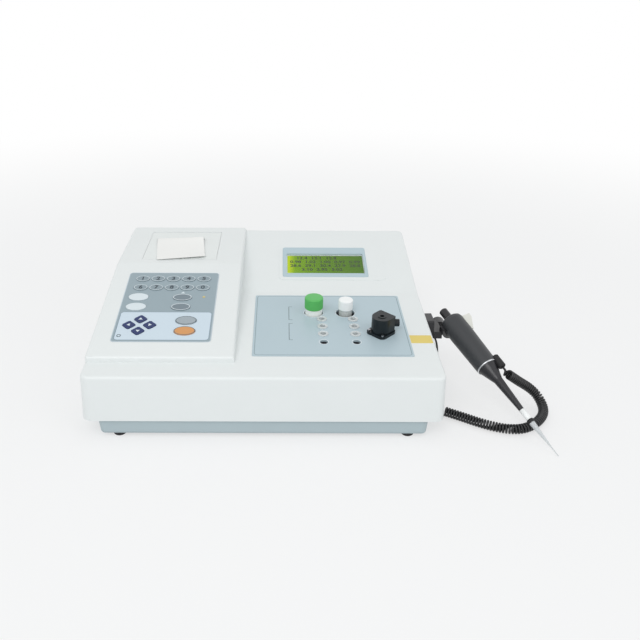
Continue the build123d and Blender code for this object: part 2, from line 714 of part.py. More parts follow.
# Display: bezel, pane and module
bezel_top = PAD_PROUD + BEZEL_PROUD
bezel_size = (DISPLAY_W - 0.2, DISPLAY_L - 0.2)
bezel_opening = (GLASS_W + 2 * GLASS_GAP, GLASS_L + 2 * GLASS_GAP)
with BuildPart() as display_bezel:
    plate(display_plane, (DISPLAY_X, DISPLAY_Y), bezel_size, DISPLAY_SEAT, bezel_top, BEZEL_R)
    fillet(outer_face(display_bezel.part, display_plane).edges(), 0.5)
    plate(display_plane, (GLASS_X, GLASS_Y), bezel_opening, -SKY, SKY, mode=Mode.SUBTRACT)
save(display_bezel, "display_bezel")

with BuildPart() as display_window:
    plate(display_plane, (GLASS_X, GLASS_Y), (GLASS_W, GLASS_L), DISPLAY_SEAT, DISPLAY_SEAT + GLASS_T)
save(display_window, "display_window")

with BuildPart() as display_module:
    module_under = DISPLAY_UNDER - MODULE_T
    plate(display_plane, (GLASS_X, GLASS_Y), (GLASS_W + 5, GLASS_L + 12), module_under, DISPLAY_UNDER)
    plate(display_plane, (GLASS_X, GLASS_Y + 20), (40, 8), module_under - 5, module_under)
save(display_module, "display_module")

# Incubator: panel, heating block with wells, cuvettes, bottles and the optical head
well_y = PANEL_Y + WELL_FIRST
wells = [(PANEL_X + x, well_y + row * WELL_PITCH) for x in WELL_OFF for row in range(4)]
filled = [place for place in wells if place[1] > well_y]
with BuildPart() as incubator_panel:
    panel_size = (PANEL_W - 0.2, PANEL_L - 0.2)
    plate(roof_plane, (PANEL_X, PANEL_Y), panel_size, PANEL_UNDER, PANEL_PROUD, PANEL_R)
    discs(roof_plane, wells, WELL_R, PANEL_UNDER, PANEL_PROUD, Mode.SUBTRACT)
    discs(roof_plane, [BOTTLE_AT, VIAL_AT], BOTTLE_HOLE_R, PANEL_UNDER, PANEL_PROUD, Mode.SUBTRACT)
    discs(roof_plane, [HEAD_AT], WELL_R, PANEL_UNDER, PANEL_PROUD, Mode.SUBTRACT)
save(incubator_panel, "incubator_panel")

block_middle = (PANEL_X + (BLOCK_X[0] + BLOCK_X[1]) / 2, PANEL_Y + (BLOCK_Y[0] + BLOCK_Y[1]) / 2)
block_size = (BLOCK_X[1] - BLOCK_X[0], BLOCK_Y[1] - BLOCK_Y[0])
with BuildPart() as heating_block:
    plate(roof_plane, block_middle, block_size, PANEL_UNDER - BLOCK_T, PANEL_UNDER)
    discs(roof_plane, wells, WELL_R, -WELL_DEPTH, PANEL_UNDER, Mode.SUBTRACT)
    discs(roof_plane, [BOTTLE_AT, VIAL_AT], BOTTLE_HOLE_R, -BOTTLE_DEPTH, PANEL_UNDER, Mode.SUBTRACT)
    discs(roof_plane, [HEAD_AT], WELL_R, -WELL_DEPTH, PANEL_UNDER, Mode.SUBTRACT)
save(heating_block, "heating_block")

with BuildPart() as cuvettes:
    discs(roof_plane, filled, CUVETTE_R, PANEL_PROUD - CUVETTE_L, PANEL_PROUD)
    discs(roof_plane, filled, CUVETTE_RIM_R, PANEL_PROUD, PANEL_PROUD + 1.0)
    discs(roof_plane, filled, CUVETTE_R - 0.8, PANEL_PROUD - CUVETTE_L + 1, SKY, Mode.SUBTRACT)
save(cuvettes, "cuvettes")

for name, cap_name, place, body_r, cap_r, cap_low, cap_high in (
    ("reagent_bottle", "bottle_cap", BOTTLE_AT, BOTTLE_R, BOTTLE_CAP_R, BOTTLE_CAP_LOW, BOTTLE_CAP_TOP),
    ("reagent_vial", "vial_cap", VIAL_AT, VIAL_R, VIAL_CAP_R, VIAL_CAP_LOW, VIAL_CAP_TOP),
):
    neck_r = body_r * 0.7
    with BuildPart() as bottle:
        discs(roof_plane, [place], body_r, -BOTTLE_DEPTH, cap_low)
        fillet(outer_face(bottle.part, roof_plane, -1).edges(), 1.0)
        discs(roof_plane, [place], neck_r, cap_low, cap_low + NECK_L)
        discs(roof_plane, [place], neck_r - 1.4, -BOTTLE_DEPTH + 1.5, SKY, Mode.SUBTRACT)
    save(bottle, name)
    with BuildPart() as cap:
        discs(roof_plane, [place], cap_r, cap_low, cap_high)
        fillet(outer_face(cap.part, roof_plane).edges(), 0.8)
        discs(roof_plane, [place], neck_r + CAP_FIT, cap_low, cap_low + NECK_L, Mode.SUBTRACT)
    save(cap, cap_name)

flange_top = PANEL_PROUD + HEAD_FLANGE_T
head_screws_at = [(HEAD_AT[0] - HEAD_SCREW_AT, HEAD_AT[1]), (HEAD_AT[0], HEAD_AT[1] - HEAD_SCREW_AT)]
port_line = Plane(
    origin=roof_plane.from_local_coords(Vector(HEAD_AT[0], HEAD_AT[1] + 4, 10.5)),
    x_dir=(0, 1, 0),
    z_dir=(1, 0, 0),
)
with BuildPart() as optical_head:
    with BuildSketch(roof_plane.offset(PANEL_PROUD)) as head_flange:
        with Locations(Location(HEAD_AT, 45)):
            RectangleRounded(FLANGE_SIDE, FLANGE_SIDE, FLANGE_R)
    extrude(head_flange.sketch, amount=HEAD_FLANGE_T)
    discs(roof_plane, [HEAD_AT], HEAD_R, flange_top, HEAD_H)
    with BuildSketch(roof_plane.offset(flange_top)) as head_corners:
        with Locations(HEAD_AT):
            touch = HEAD_R / sqrt(2)
            Polygon((0, 2 * touch), (-touch, touch), (touch, -touch), (2 * touch, 0), align=None)
        fillet(head_corners.vertices().group_by(Axis.X)[-1], 2.0)
        fillet(head_corners.vertices().group_by(Axis.Y)[-1], 2.0)
    extrude(head_corners.sketch, amount=HEAD_H - flange_top)
    discs(roof_plane, [HEAD_AT], HEAD_BORE_R + 2.2, HEAD_H, HEAD_H + 0.5)
    discs(port_line, [(0, 0)], PORT_R, 0, PORT_REACH)
    discs(port_line, [(0, 0)], PORT_R - 1.5, PORT_REACH - 4, PORT_REACH, Mode.SUBTRACT)
    discs(roof_plane, [HEAD_AT], HEAD_BORE_R, PANEL_PROUD, SKY, Mode.SUBTRACT)
    discs(roof_plane, head_screws_at, HEAD_SCREW_R / 2 + 0.15, PANEL_PROUD, flange_top, Mode.SUBTRACT)
save(optical_head, "optical_head")

with BuildPart() as head_screws:
    discs(roof_plane, head_screws_at, HEAD_SCREW_R, flange_top, flange_top + 1.4)
    discs(roof_plane, head_screws_at, HEAD_SCREW_R / 2, PANEL_PROUD, flange_top)
save(head_screws, "head_screws")

# Electronics on the tray
board_low = tray_floor + STANDOFF_H
board_at = (MID_X + BOARD_X, FRONT_Y + BOARD_Y)
with BuildPart() as main_board:
    plate(Plane.XY, board_at, MAIN_BOARD, board_low, board_low + BOARD_T)
    chips = [(-40, 20, 16, 16, 2), (0, 12, 22, 22, 2.5), (42, -22, 14, 10, 2), (-48, -30, 30, 8, 9)]
    chips += [(10, -36, 36, 8, 9), (56, 26, 16, 12, 11), (-18, 38, 24, 8, 8)]
    for x, y, w, l, h in chips:
        place = (board_at[0] + x, board_at[1] + y)
        plate(Plane.XY, place, (w, l), board_low + BOARD_T, board_low + BOARD_T + h)
    cans = [(board_at[0] + x, board_at[1] + y) for x, y in ((28, 32), (28, 20), (40, 12))]
    discs(Plane.XY, cans, 4.5, board_low + BOARD_T, board_low + BOARD_T + 12)
save(main_board, "main_board")

with BuildPart() as power_supply:
    supply_at = (MID_X + SUPPLY_X, FRONT_Y + SUPPLY_Y)
    plate(Plane.XY, supply_at, SUPPLY[:2], tray_floor, tray_floor + SUPPLY[2])
    slots = [(supply_at[0] + x, supply_at[1]) for x in range(-35, 36, 7)]
    for slot in slots:
        plate(Plane.XY, slot, (2.5, SUPPLY_VENT), tray_floor + SUPPLY[2] - 1, SKY, mode=Mode.SUBTRACT)
save(power_supply, "power_supply")

with BuildPart() as power_inlet:
    plate(inlet_plane, (0, 0), (INLET_HOLE[0] + 4, INLET_HOLE[1] + 4.4), 0, 2.2, 2.0)
    plate(inlet_plane, (0, 0), (INLET_HOLE[0] - 0.4, INLET_HOLE[1] - 0.4), -20, 0)
    plate(inlet_plane, (0, 0), (24.0, 16.2), -15, SKY, 2.0, Mode.SUBTRACT)
    for x, y in ((0, 3), (-7, -2), (7, -2)):
        plate(inlet_plane, (x, y), (2.0, 4.0), -15.5, -4.5)
save(power_inlet, "power_inlet")

rocker_line = Plane(
    origin=switch_plane.from_local_coords(Vector(0, 0, ROCKER_AXIS)),
    x_dir=switch_plane.y_dir,
    z_dir=switch_plane.x_dir,
)
with BuildPart() as switch_housing:
    plate(switch_plane, (0, 0), (SWITCH_HOLE[0] + 3, SWITCH_HOLE[1] + 3), 0, 1.8, 1.5)
    plate(switch_plane, (0, 0), (SWITCH_HOLE[0] - 0.4, SWITCH_HOLE[1] - 0.4), -16, 0)
    plate(switch_plane, (0, 0), ROCKER_WELL, -12, SKY, mode=Mode.SUBTRACT)
    pin_reach = ROCKER_WELL[0] / 2 + 0.8
    discs(rocker_line, [(0, 0)], 1.2 + SHAFT_PLAY, -pin_reach - 0.2, pin_reach + 0.2, Mode.SUBTRACT)
save(switch_housing, "switch_housing")

with BuildPart() as switch_rocker:
    with BuildSketch(rocker_line.offset(-ROCKER_WELL[0] / 2 + 0.3)) as rocker_side:
        with BuildLine():
            Polyline(*ROCKER_SHAPE, close=True)
        make_face()
    extrude(rocker_side.sketch, amount=ROCKER_WELL[0] - 0.6)
    discs(rocker_line, [(0, 0)], 1.2, -pin_reach, pin_reach)
save(switch_rocker, "switch_rocker")

with BuildPart() as cord_gland:
    discs(gland_plane, [(0, 0)], GLAND_HOLE_R + 2, 0, 3)
    discs(gland_plane, [(0, 0)], GLAND_HOLE_R - 0.05, -WALL - 2, 0)
    discs(gland_plane, [(0, 0)], 3.2, 3, GLAND_L)
    discs(gland_plane, [(0, 0)], WIRE_R + WIRE_PLAY, GLAND_L - 5, GLAND_L, Mode.SUBTRACT)
save(cord_gland, "cord_gland")


# Pipette, resting with its tip on the table and its grip in the cradle
def placed(at):
    """A point measured from the right wall's foot, the front top edge and the table."""
    return Vector(MID_X + WALL_X + at[0], FRONT_Y + at[1], at[2])


tip = placed(TIP_AT)
axis = (placed(REAR_AT) - tip).normalized()
side = Vector(axis.Y, -axis.X, 0).normalized()
lift = side.cross(axis)
profile_plane = Plane(origin=tip, x_dir=lift, z_dir=side * -1)
pipette_axis = Axis(tip, axis)


def turned(points, mode=Mode.ADD):
    """A turned form round the pipette's axis from points of radius and distance from the tip's end."""
    with BuildSketch(profile_plane) as profile:
        with BuildLine():
            Polyline(*points, close=True)
        make_face()
    revolve(profile.sketch, axis=pipette_axis, mode=mode)


def at_angle(angle, radius, along):
    """A point beside the pipette, at an angle from its right side towards its top."""
    turn = radians(angle)
    return tip + axis * along + side * (radius * cos(turn)) + lift * (radius * sin(turn))


thumb_side = side * cos(radians(THUMB_ANGLE)) + lift * sin(radians(THUMB_ANGLE))
thumb_plane = Plane(origin=tip, x_dir=thumb_side, z_dir=thumb_side.cross(axis))
boot_plane = Plane(origin=at_angle(BOOT_ANGLE, BOOT_AT, BOOT_FROM), x_dir=lift, z_dir=axis)

with BuildPart() as pipette_nose:
    spigot = [(0, NOSE_TIP_FROM), (SPIGOT_R[0], NOSE_TIP_FROM), (SPIGOT_R[1], TIP_SEAT)]
    neck = [(NECK_R, TIP_SEAT + 0.01), (NECK_R, NOSE_FROM), (NOSE_R[0], NOSE_FROM), (NOSE_R[1], NOSE_BEND)]
    turned(spigot + neck + [(NOSE_R[2], NOSE_TO - 1), (NOSE_R[2], NOSE_TO), (0, NOSE_TO)])
save(pipette_nose, "pipette_nose")

with BuildPart() as pipette_tip:
    tip_rear = TIP_SEAT - SEAT_GAP
    turned([(0, 0), (0.4, 0), (0.6, 10), (TIP_R, TIP_L), (TIP_R, tip_rear), (0, tip_rear)])
    turned(spigot + [(0, TIP_SEAT)], Mode.SUBTRACT)
    channel_to = NOSE_TIP_FROM - STOP_GAP
    turned([(0, 0), (0.2, 0), (0.3, 10), (TIP_R / 2, channel_to), (0, channel_to)], Mode.SUBTRACT)
save(pipette_tip, "pipette_tip")

with BuildPart() as pipette_grip:
    sleeve = [(0, NOSE_TO), (GRIP_FRONT_R - 0.4, NOSE_TO), (GRIP_FRONT_R, NOSE_TO + 1)]
    sleeve += [(GRIP_R, GRIP_TAPER_TO), (GRIP_R, GRIP_TO - 5), (GRIP_R - 0.8, GRIP_TO - 2)]
    turned(sleeve + [(GRIP_R - 3.0, GRIP_TO), (0, GRIP_TO)])
    plunger_in = PLUNGER_FROM - PLUNGER_TRAVEL - STOP_GAP
    bore_r = PLUNGER_R + PLUNGER_FIT
    turned([(0, plunger_in), (bore_r, plunger_in), (bore_r, GRIP_TO + 1), (0, GRIP_TO + 1)], Mode.SUBTRACT)
    slot_floor = THUMB_ROOT - STOP_GAP
    slot_from = THUMB_FROM - THUMB_TRAVEL - STOP_GAP
    slot_to = THUMB_TO + STOP_GAP
    slot_open = 2 * GRIP_R
    slot_shape = [(slot_floor, slot_from), (slot_open, slot_from), (slot_open, slot_to)]
    slot_shape += [(slot_floor, slot_to)]
    with BuildSketch(thumb_plane.offset(-THUMB_T / 2 - THUMB_SIDE_PLAY)) as slot:
        with BuildLine():
            Polyline(*slot_shape, close=True)
        make_face()
    extrude(slot.sketch, amount=THUMB_T + 2 * THUMB_SIDE_PLAY, mode=Mode.SUBTRACT)
save(pipette_grip, "pipette_grip")

with BuildPart() as pipette_plunger:
    knob_rim = [(PLUNGER_R, PLUNGER_END - 0.8), (PLUNGER_R - 0.8, PLUNGER_END), (0, PLUNGER_END)]
    turned([(0, PLUNGER_FROM), (PLUNGER_R, PLUNGER_FROM)] + knob_rim)
save(pipette_plunger, "pipette_plunger")

fin_r = GRIP_R + FIN_PROUD
fin_points = [(fin_r + out, THUMB_FROM + along) for out, along in FIN_SHAPE]
lever = [(THUMB_ROOT, THUMB_FROM), (fin_r, THUMB_FROM)] + fin_points
lever += [(fin_r, THUMB_TO), (THUMB_ROOT, THUMB_TO)]
with BuildPart() as thumb_slider:
    with BuildSketch(thumb_plane.offset(-THUMB_T / 2)) as fin:
        with BuildLine():
            Polyline(*lever, close=True)
        make_face()
    extrude(fin.sketch, amount=THUMB_T)
save(thumb_slider, "thumb_slider")

with BuildPart() as cord_boot:
    discs(boot_plane, [(0, 0)], BOOT_R, 0, BOOT_L)
    chamfer(cord_boot.edges().filter_by(GeomType.CIRCLE), 0.8)
    add(pipette_grip.part, mode=Mode.SUBTRACT)
    add(pipette_nose.part, mode=Mode.SUBTRACT)
    discs(boot_plane, [(0, 0)], WIRE_R + WIRE_PLAY, 0, 4, Mode.SUBTRACT)
print("boot", len(cord_boot.solids()))
save(cord_boot, "cord_boot")

# Holder: a plate on the right wall, an arm with a round knob and an open cradle
holder_plane = side_plane(HOLDER_Y, HOLDER_Z)
cradle_plane = Plane(origin=tip + axis * CRADLE_AT, x_dir=side, z_dir=axis * -1)
knob = placed(KNOB_AT)
with BuildPart() as pipette_holder:
    plate(holder_plane, (0, 0), (HOLDER_W, HOLDER_H), 0, HOLDER_T, 2.0)
    with Locations(Location(placed(ARM_AT))):
        Box(*ARM_SIZE)
    with BuildSketch(Plane(origin=knob, x_dir=(1, 0, 0), z_dir=(0, -1, 0)).offset(-7)) as knob_face:
        Circle(KNOB_R)
    extrude(knob_face.sketch, amount=14)
    with BuildSketch(cradle_plane.offset(-CRADLE_T / 2)) as ring:
        Circle(GRIP_R + CRADLE_FIT + CRADLE_WALL)
        Circle(GRIP_R + CRADLE_FIT, mode=Mode.SUBTRACT)
        with Locations((0, 2 * GRIP_R + CRADLE_TOP)):
            Rectangle(4 * GRIP_R, 4 * GRIP_R, mode=Mode.SUBTRACT)
    extrude(ring.sketch, amount=CRADLE_T)
print("holder", len(pipette_holder.solids()), pipette_holder.part.is_valid)
save(pipette_holder, "pipette_holder")

# Cord: a wire from the gland along the table, then curled up to the pipette's boot
gland_start = gland_plane.from_local_coords(Vector(0, 0, GLAND_L - 5))
lead_points = [gland_start] + [placed(point) for point in LEAD_POINTS]


def bend_radii(points):
    """A radius for each inner corner, from the shorter run beside it and the turn."""
    radii = []
    for before, at, after in zip(points, points[1:], points[2:]):
        turn = (at - before).get_angle(after - at)
        shorter = min((at - before).length, (after - at).length)
        radii.append(0.45 * shorter / tan(radians(turn / 2)))
    return radii


def tangent_pair(start, start_way, end, end_way):
    """Two arcs, each tangent to the other and to the way the wire runs at its end."""
    gap = end - start
    ways = start_way + end_way
    spread = 2 * (1 - start_way.dot(end_way))
    reach = (sqrt(gap.dot(ways) ** 2 + spread * gap.dot(gap)) - gap.dot(ways)) / spread
    joint = (start + end + (start_way - end_way) * reach) * 0.5
    first = TangentArc(start, joint, tangent=start_way, mode=Mode.PRIVATE)
    second = TangentArc(joint, end, tangent=first % 1, mode=Mode.PRIVATE)
    return [first.edge(), second.edge()]


lead_radii = bend_radii(lead_points)
print("lead radii", [round(radius, 1) for radius in lead_radii])
lead_line = FilletPolyline(*lead_points, radius=lead_radii, mode=Mode.PRIVATE)
boot_end = boot_plane.from_local_coords(Vector(0, 0, 4))
boot_stub = boot_plane.from_local_coords(Vector(0, 0, -2.5))
centre_points = [placed(point) for point in CURL_POINTS]
centre_line = Spline(*centre_points, mode=Mode.PRIVATE)
curls = int(centre_line.length / CURL_PITCH)
count = curls * STATIONS
places = [centre_line.position_at(i / count) for i in range(count + 1)]
ways = [centre_line.tangent_at(i / count).normalized() for i in range(count + 1)]
outward = Vector(0, 0, -1)
outward = (outward - ways[0] * outward.dot(ways[0])).normalized()
curl_points = []
curl_ways = []
for i in range(count + 1):
    outward = (outward - ways[i] * outward.dot(ways[i])).normalized()
    across_way = ways[i].cross(outward)
    phase = 2 * pi * i / STATIONS
    spoke = outward * cos(phase) + across_way * sin(phase)
    around = across_way * cos(phase) - outward * sin(phase)
    curl_points.append(places[i] + spoke * CURL_R)
    curl_ways.append((around * CURL_R + ways[i] * (centre_line.length / curls / (2 * pi))).normalized())
least = SKY
for i in range(len(curl_points)):
    for j in range(i + STATIONS // 2, min(i + 2 * STATIONS, len(curl_points))):
        least = min(least, (curl_points[i] - curl_points[j]).length)
print("curls", curls, "least gap between curls", round(least - 2 * WIRE_R, 2))
print("lowest point", round(min(point.Z for point in curl_points) - WIRE_R, 2))
pieces = list(lead_line.edges())
pieces += tangent_pair(lead_line @ 1, lead_line % 1, curl_points[0], curl_ways[0])
for i in range(0, count, STATIONS // 4):
    j = i + STATIONS // 4
    pieces += tangent_pair(curl_points[i], curl_ways[i], curl_points[j], curl_ways[j])
pieces += tangent_pair(curl_points[-1], curl_ways[-1], boot_stub, axis)
pieces.append(Edge.make_line(boot_stub, boot_end))
wire = Wire(pieces)
print("wire length", round(wire.length, 1), "pieces", len(pieces))
with BuildPart() as handle_cord:
    with BuildSketch(Plane(origin=wire @ 0, z_dir=wire % 0)):
        Circle(WIRE_R)
    sweep(path=wire)
ratio = handle_cord.part.volume / (pi * WIRE_R**2 * wire.length)
print("cord", handle_cord.part.is_valid, len(handle_cord.solids()), "volume ratio", round(ratio, 4))
save(handle_cord, "handle_cord")
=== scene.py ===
import math

import bmesh
import bpy
from mathutils import Matrix, Vector


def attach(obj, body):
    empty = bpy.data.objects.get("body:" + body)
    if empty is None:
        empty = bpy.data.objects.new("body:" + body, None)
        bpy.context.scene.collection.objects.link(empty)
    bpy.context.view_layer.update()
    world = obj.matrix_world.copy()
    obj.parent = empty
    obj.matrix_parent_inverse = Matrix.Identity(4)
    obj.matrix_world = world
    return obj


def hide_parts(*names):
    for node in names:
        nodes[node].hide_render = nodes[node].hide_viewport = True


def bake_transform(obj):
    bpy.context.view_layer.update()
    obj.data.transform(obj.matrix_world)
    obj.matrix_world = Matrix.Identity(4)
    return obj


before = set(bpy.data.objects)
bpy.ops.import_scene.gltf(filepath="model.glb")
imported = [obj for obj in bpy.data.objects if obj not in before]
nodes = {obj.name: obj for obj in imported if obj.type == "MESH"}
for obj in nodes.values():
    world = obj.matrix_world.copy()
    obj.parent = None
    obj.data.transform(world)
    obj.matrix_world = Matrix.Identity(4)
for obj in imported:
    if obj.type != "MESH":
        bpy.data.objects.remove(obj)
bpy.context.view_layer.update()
MM = 0.001

# The casing's own frame: X from its middle, Y from its front top edge, Z from the table, in millimetres
MID_X = -51.83
FRONT_Y = -147.5


def row(x, y, z):
    """A point of the casing's own frame, in metres in the row frame."""
    return Vector((MID_X + x, FRONT_Y + y, z)) * MM


def sloped(y, z, slope):
    """The matrix of a roof plane: local X to the right, local Y up the slope, in millimetres."""
    tilt = math.radians(slope)
    turn = Matrix(((1, 0, 0), (0, math.cos(tilt), -math.sin(tilt)), (0, math.sin(tilt), math.cos(tilt))))
    return Matrix.Translation(row(0, y, z)) @ turn.to_4x4() @ Matrix.Scale(MM, 4)


def rise(run, slope):
    return run * math.tan(math.radians(slope))


FRONT_H = 66.8
BREAK = (181.7, FRONT_H + rise(181.7, 4.2))
KEY_START = (26.7, 74.6)
KEY_END = (198.8, 74.6 + rise(198.8 - 26.7, 11.1))
roof = sloped(0, FRONT_H, 4.2)
display = sloped(*BREAK, 12.399)
keypad = sloped(*KEY_START, 11.1)
printer = sloped(*KEY_END, 2.4)

# Places and sizes on those planes, in millimetres
KEYPAD_AT, KEYPAD_HALF = (-103.8, 89.1), (49.6, 64.0)
FIELD_AT, FIELD_HALF = (-103.6, 51.8), (48.0, 24.6)
PANEL_AT, PANEL_HALF = (68.7, 105.3), (78.6, 64.0)
FACE_AT, FACE_SIZE = (70.2, 58.3), (92.0, 40.8)
BOTTLE_AT = (52.3, 130.0)
VIAL_AT = (86.9, 130.0)
WELL_COLUMNS = (60.6, 94.2)
WELL_FIRST = 66.8
SLOT_X, SLOT_Y = -108.2, 76.9
PAPER_W, PAPER_T = 57.0, 0.15

# Camera at the photograph's viewing angle
PITCH, ROLL, YAW = math.radians(25.62), math.radians(0.33), math.radians(0.30)
CAMERA_AT = (-0.03474, -0.77294, 0.41245)
ahead = Vector((math.sin(YAW), math.cos(YAW), 0))
right = Vector((math.cos(YAW), -math.sin(YAW), 0))
forward = ahead * math.cos(PITCH) - Vector((0, 0, 1)) * math.sin(PITCH)
up = ahead * math.sin(PITCH) + Vector((0, 0, 1)) * math.cos(PITCH)
cam_x = right * math.cos(ROLL) + up * math.sin(ROLL)
cam_y = up * math.cos(ROLL) - right * math.sin(ROLL)
camera = bpy.data.objects.new("camera", bpy.data.cameras.new("camera"))
bpy.context.scene.collection.objects.link(camera)
turn = Matrix((cam_x, cam_y, -forward)).transposed()
camera.matrix_world = Matrix.Translation(CAMERA_AT) @ turn.to_4x4()
camera.data.lens = 42.47
camera.data.sensor_width = 36
camera.data.shift_x = 0.0548
camera.data.shift_y = 0.0225
camera.data.clip_start = 0.01
bpy.context.scene.camera = camera
bpy.context.scene.view_settings.view_transform = "Standard"


# Materials
def linear(rgb):
    """An sRGB colour of 0 to 255 as linear values."""
    return [(c / 255 / 12.92) if c <= 10 else ((c / 255 + 0.055) / 1.055) ** 2.4 for c in rgb]


class Paint:
    """A principled material with procedural colour, roughness and bump."""

    CLOUDS = 35
    SMUDGES = 120
    ROUGH_SPREAD = 0.06
    BUMP_DEPTH = 0.0002

    def __init__(self, name, rgb, rough=0.5, vary=0.03, grain=0.0006, bump=0.05, **extra):
        self.material = bpy.data.materials.new(name)
        self.material.use_nodes = True
        self.tree = self.material.node_tree
        self.shader = self.tree.nodes["Principled BSDF"]
        self.place = self.node("ShaderNodeTexCoord").outputs["Object"]
        self.colour = self.shade(linear(rgb), vary)
        self.rough(rough)
        if bump:
            self.bump(grain, bump)
        for key, value in extra.items():
            self.shader.inputs[key.replace("_", " ")].default_value = value
        self.tree.links.new(self.colour, self.shader.inputs["Base Color"])

    def node(self, kind, **values):
        made = self.tree.nodes.new(kind)
        for key, value in values.items():
            setattr(made, key, value)
        return made

    def noise(self, scale, detail=3.0):
        made = self.node("ShaderNodeTexNoise")
        made.inputs["Scale"].default_value = scale
        made.inputs["Detail"].default_value = detail
        self.tree.links.new(self.place, made.inputs["Vector"])
        return made.outputs["Fac"]

    def mix(self, factor, first, second):
        """A colour between two, by a factor socket or number."""
        made = self.node("ShaderNodeMix", data_type="RGBA")
        for slot, value in ((0, factor), (6, first), (7, second)):
            if isinstance(value, bpy.types.NodeSocket):
                self.tree.links.new(value, made.inputs[slot])
            elif slot == 0:
                made.inputs[slot].default_value = value
            else:
                made.inputs[slot].default_value = [*value[:3], 1]
        return made.outputs[2]

    def shade(self, rgb, vary):
        low = [c * (1 - vary) for c in rgb]
        high = [min(1, c * (1 + vary)) for c in rgb]
        return self.mix(self.noise(self.CLOUDS), low, high)

    def rough(self, value):
        spread = self.node("ShaderNodeMapRange")
        spread.inputs["To Min"].default_value = max(0.02, value - self.ROUGH_SPREAD)
        spread.inputs["To Max"].default_value = min(1, value + self.ROUGH_SPREAD)
        self.tree.links.new(self.noise(self.SMUDGES), spread.inputs["Value"])
        self.tree.links.new(spread.outputs["Result"], self.shader.inputs["Roughness"])

    def bump(self, grain, strength):
        made = self.node("ShaderNodeBump")
        made.inputs["Strength"].default_value = strength
        made.inputs["Distance"].default_value = self.BUMP_DEPTH
        self.tree.links.new(self.noise(1 / grain, 2), made.inputs["Height"])
        self.tree.links.new(made.outputs["Normal"], self.shader.inputs["Normal"])

    def math(self, operation, first, second=None):
        made = self.node("ShaderNodeMath", operation=operation)
        for slot, value in ((0, first), (1, second)):
            if isinstance(value, bpy.types.NodeSocket):
                self.tree.links.new(value, made.inputs[slot])
            elif value is not None:
                made.inputs[slot].default_value = value
        return made.outputs[0]

    def outside_box(self, low, high, radius):
        """Distance outside a rounded box seen from above, negative inside, in metres."""
        split = self.node("ShaderNodeSeparateXYZ")
        self.tree.links.new(self.place, split.inputs[0])
        reach = []
        for axis, name in enumerate("XY"):
            middle = (low[axis] + high[axis]) / 2
            half = (high[axis] - low[axis]) / 2 - radius
            away = self.math("ABSOLUTE", self.math("SUBTRACT", split.outputs[name], middle))
            reach.append(self.math("MAXIMUM", self.math("SUBTRACT", away, half), 0.0))
        squares = [self.math("MULTIPLY", r, r) for r in reach]
        length = self.math("SQRT", self.math("ADD", *squares))
        return self.math("SUBTRACT", length, radius)

    def around(self, plane, middle, half, radius):
        """Distance outside a rounded box round a point of a plane."""
        low = plane @ Vector((middle[0] - half[0], middle[1] - half[1], 0))
        high = plane @ Vector((middle[0] + half[0], middle[1] + half[1], 0))
        return self.outside_box(low, high, radius * MM)

    def over(self, rgb, mask):
        """Paints a colour over what is there, where the mask is 1."""
        self.colour = self.mix(mask, self.colour, linear(rgb))
        self.tree.links.new(self.colour, self.shader.inputs["Base Color"])


white = Paint("casing_white", (231, 235, 235), 0.42, 0.012, 0.0007, 0.06)
tray_white = Paint("tray_grey", (175, 190, 195), 0.5, 0.02, 0.0007, 0.08)
lid_white = Paint("lid_white", (231, 235, 234), 0.42, 0.012, 0.0007, 0.06)
rubber = Paint("rubber_black", (26, 26, 28), 0.7, 0.1, 0.0005, 0.15)
steel = Paint("screw_steel", (170, 172, 176), 0.32, 0.06, 0.0004, 0.08, Metallic=1.0)
sheet_steel = Paint("sheet_steel", (178, 180, 182), 0.38, 0.05, 0.0012, 0.05, Metallic=1.0)
aluminium = Paint("aluminium", (200, 202, 206), 0.35, 0.05, 0.0008, 0.06, Metallic=1.0)
paper = Paint("paper", (244, 244, 242), 0.75, 0.012, 0.0003, 0.08)
dark_plastic = Paint("dark_grey_plastic", (84, 86, 90), 0.5, 0.05, 0.0006, 0.1)
board_green = Paint("board_green", (24, 92, 52), 0.35, 0.1, 0.002, 0.1)
module_paint = Paint("module_frame", (150, 154, 156), 0.4, 0.04, 0.0008, 0.05)
bezel_paint = Paint("bezel_blue_grey", (182, 202, 210), 0.38, 0.015, 0.0009, 0.04)
black = Paint("black_plastic", (34, 34, 37), 0.36, 0.08, 0.0006, 0.1)
head_black = Paint("head_black", (13, 22, 27), 0.3, 0.08, 0.0005, 0.1, Specular_IOR_Level=0.35)
grip_paint = Paint("grip_grey", (52, 54, 57), 0.42, 0.05, 0.0005, 0.12)
nose_paint = Paint("nose_black", (36, 36, 40), 0.3, 0.05, 0.0005, 0.06)
bottle_paint = Paint("bottle_white", (240, 242, 238), 0.3, 0.01, 0.001, 0.04)
cap_white = Paint("cap_white", (246, 248, 248), 0.35, 0.01, 0.0006, 0.05)
cap_green = Paint("cap_green", (88, 184, 94), 0.35, 0.05, 0.0006, 0.06)
label_yellow = Paint("label_yellow", (226, 204, 112), 0.5, 0.03, 0.0008, 0.05)
line_white = Paint("print_pale", (214, 224, 229), 0.5, 0.02, 0.0006, 0.02)
line_dark = Paint("print_dark", (92, 106, 114), 0.5, 0.03, 0.0006, 0.02)
ink_dark = Paint("print_ink", (46, 58, 68), 0.5, 0.03, 0.0006, 0.02)
lcd_ink = Paint("display_ink", (26, 42, 14), 0.5, 0.05, 0.0006, 0.0)
key_grey = Paint("key_grey", (136, 152, 160), 0.42, 0.03, 0.0006, 0.05)
key_dark = Paint("key_dark", (118, 132, 141), 0.42, 0.03, 0.0006, 0.05)
key_pale = Paint("key_pale", (218, 228, 233), 0.42, 0.02, 0.0006, 0.05)
key_navy = Paint("key_navy", (12, 38, 96), 0.4, 0.05, 0.0006, 0.05)
key_orange = Paint("key_orange", (214, 152, 92), 0.42, 0.03, 0.0006, 0.05)
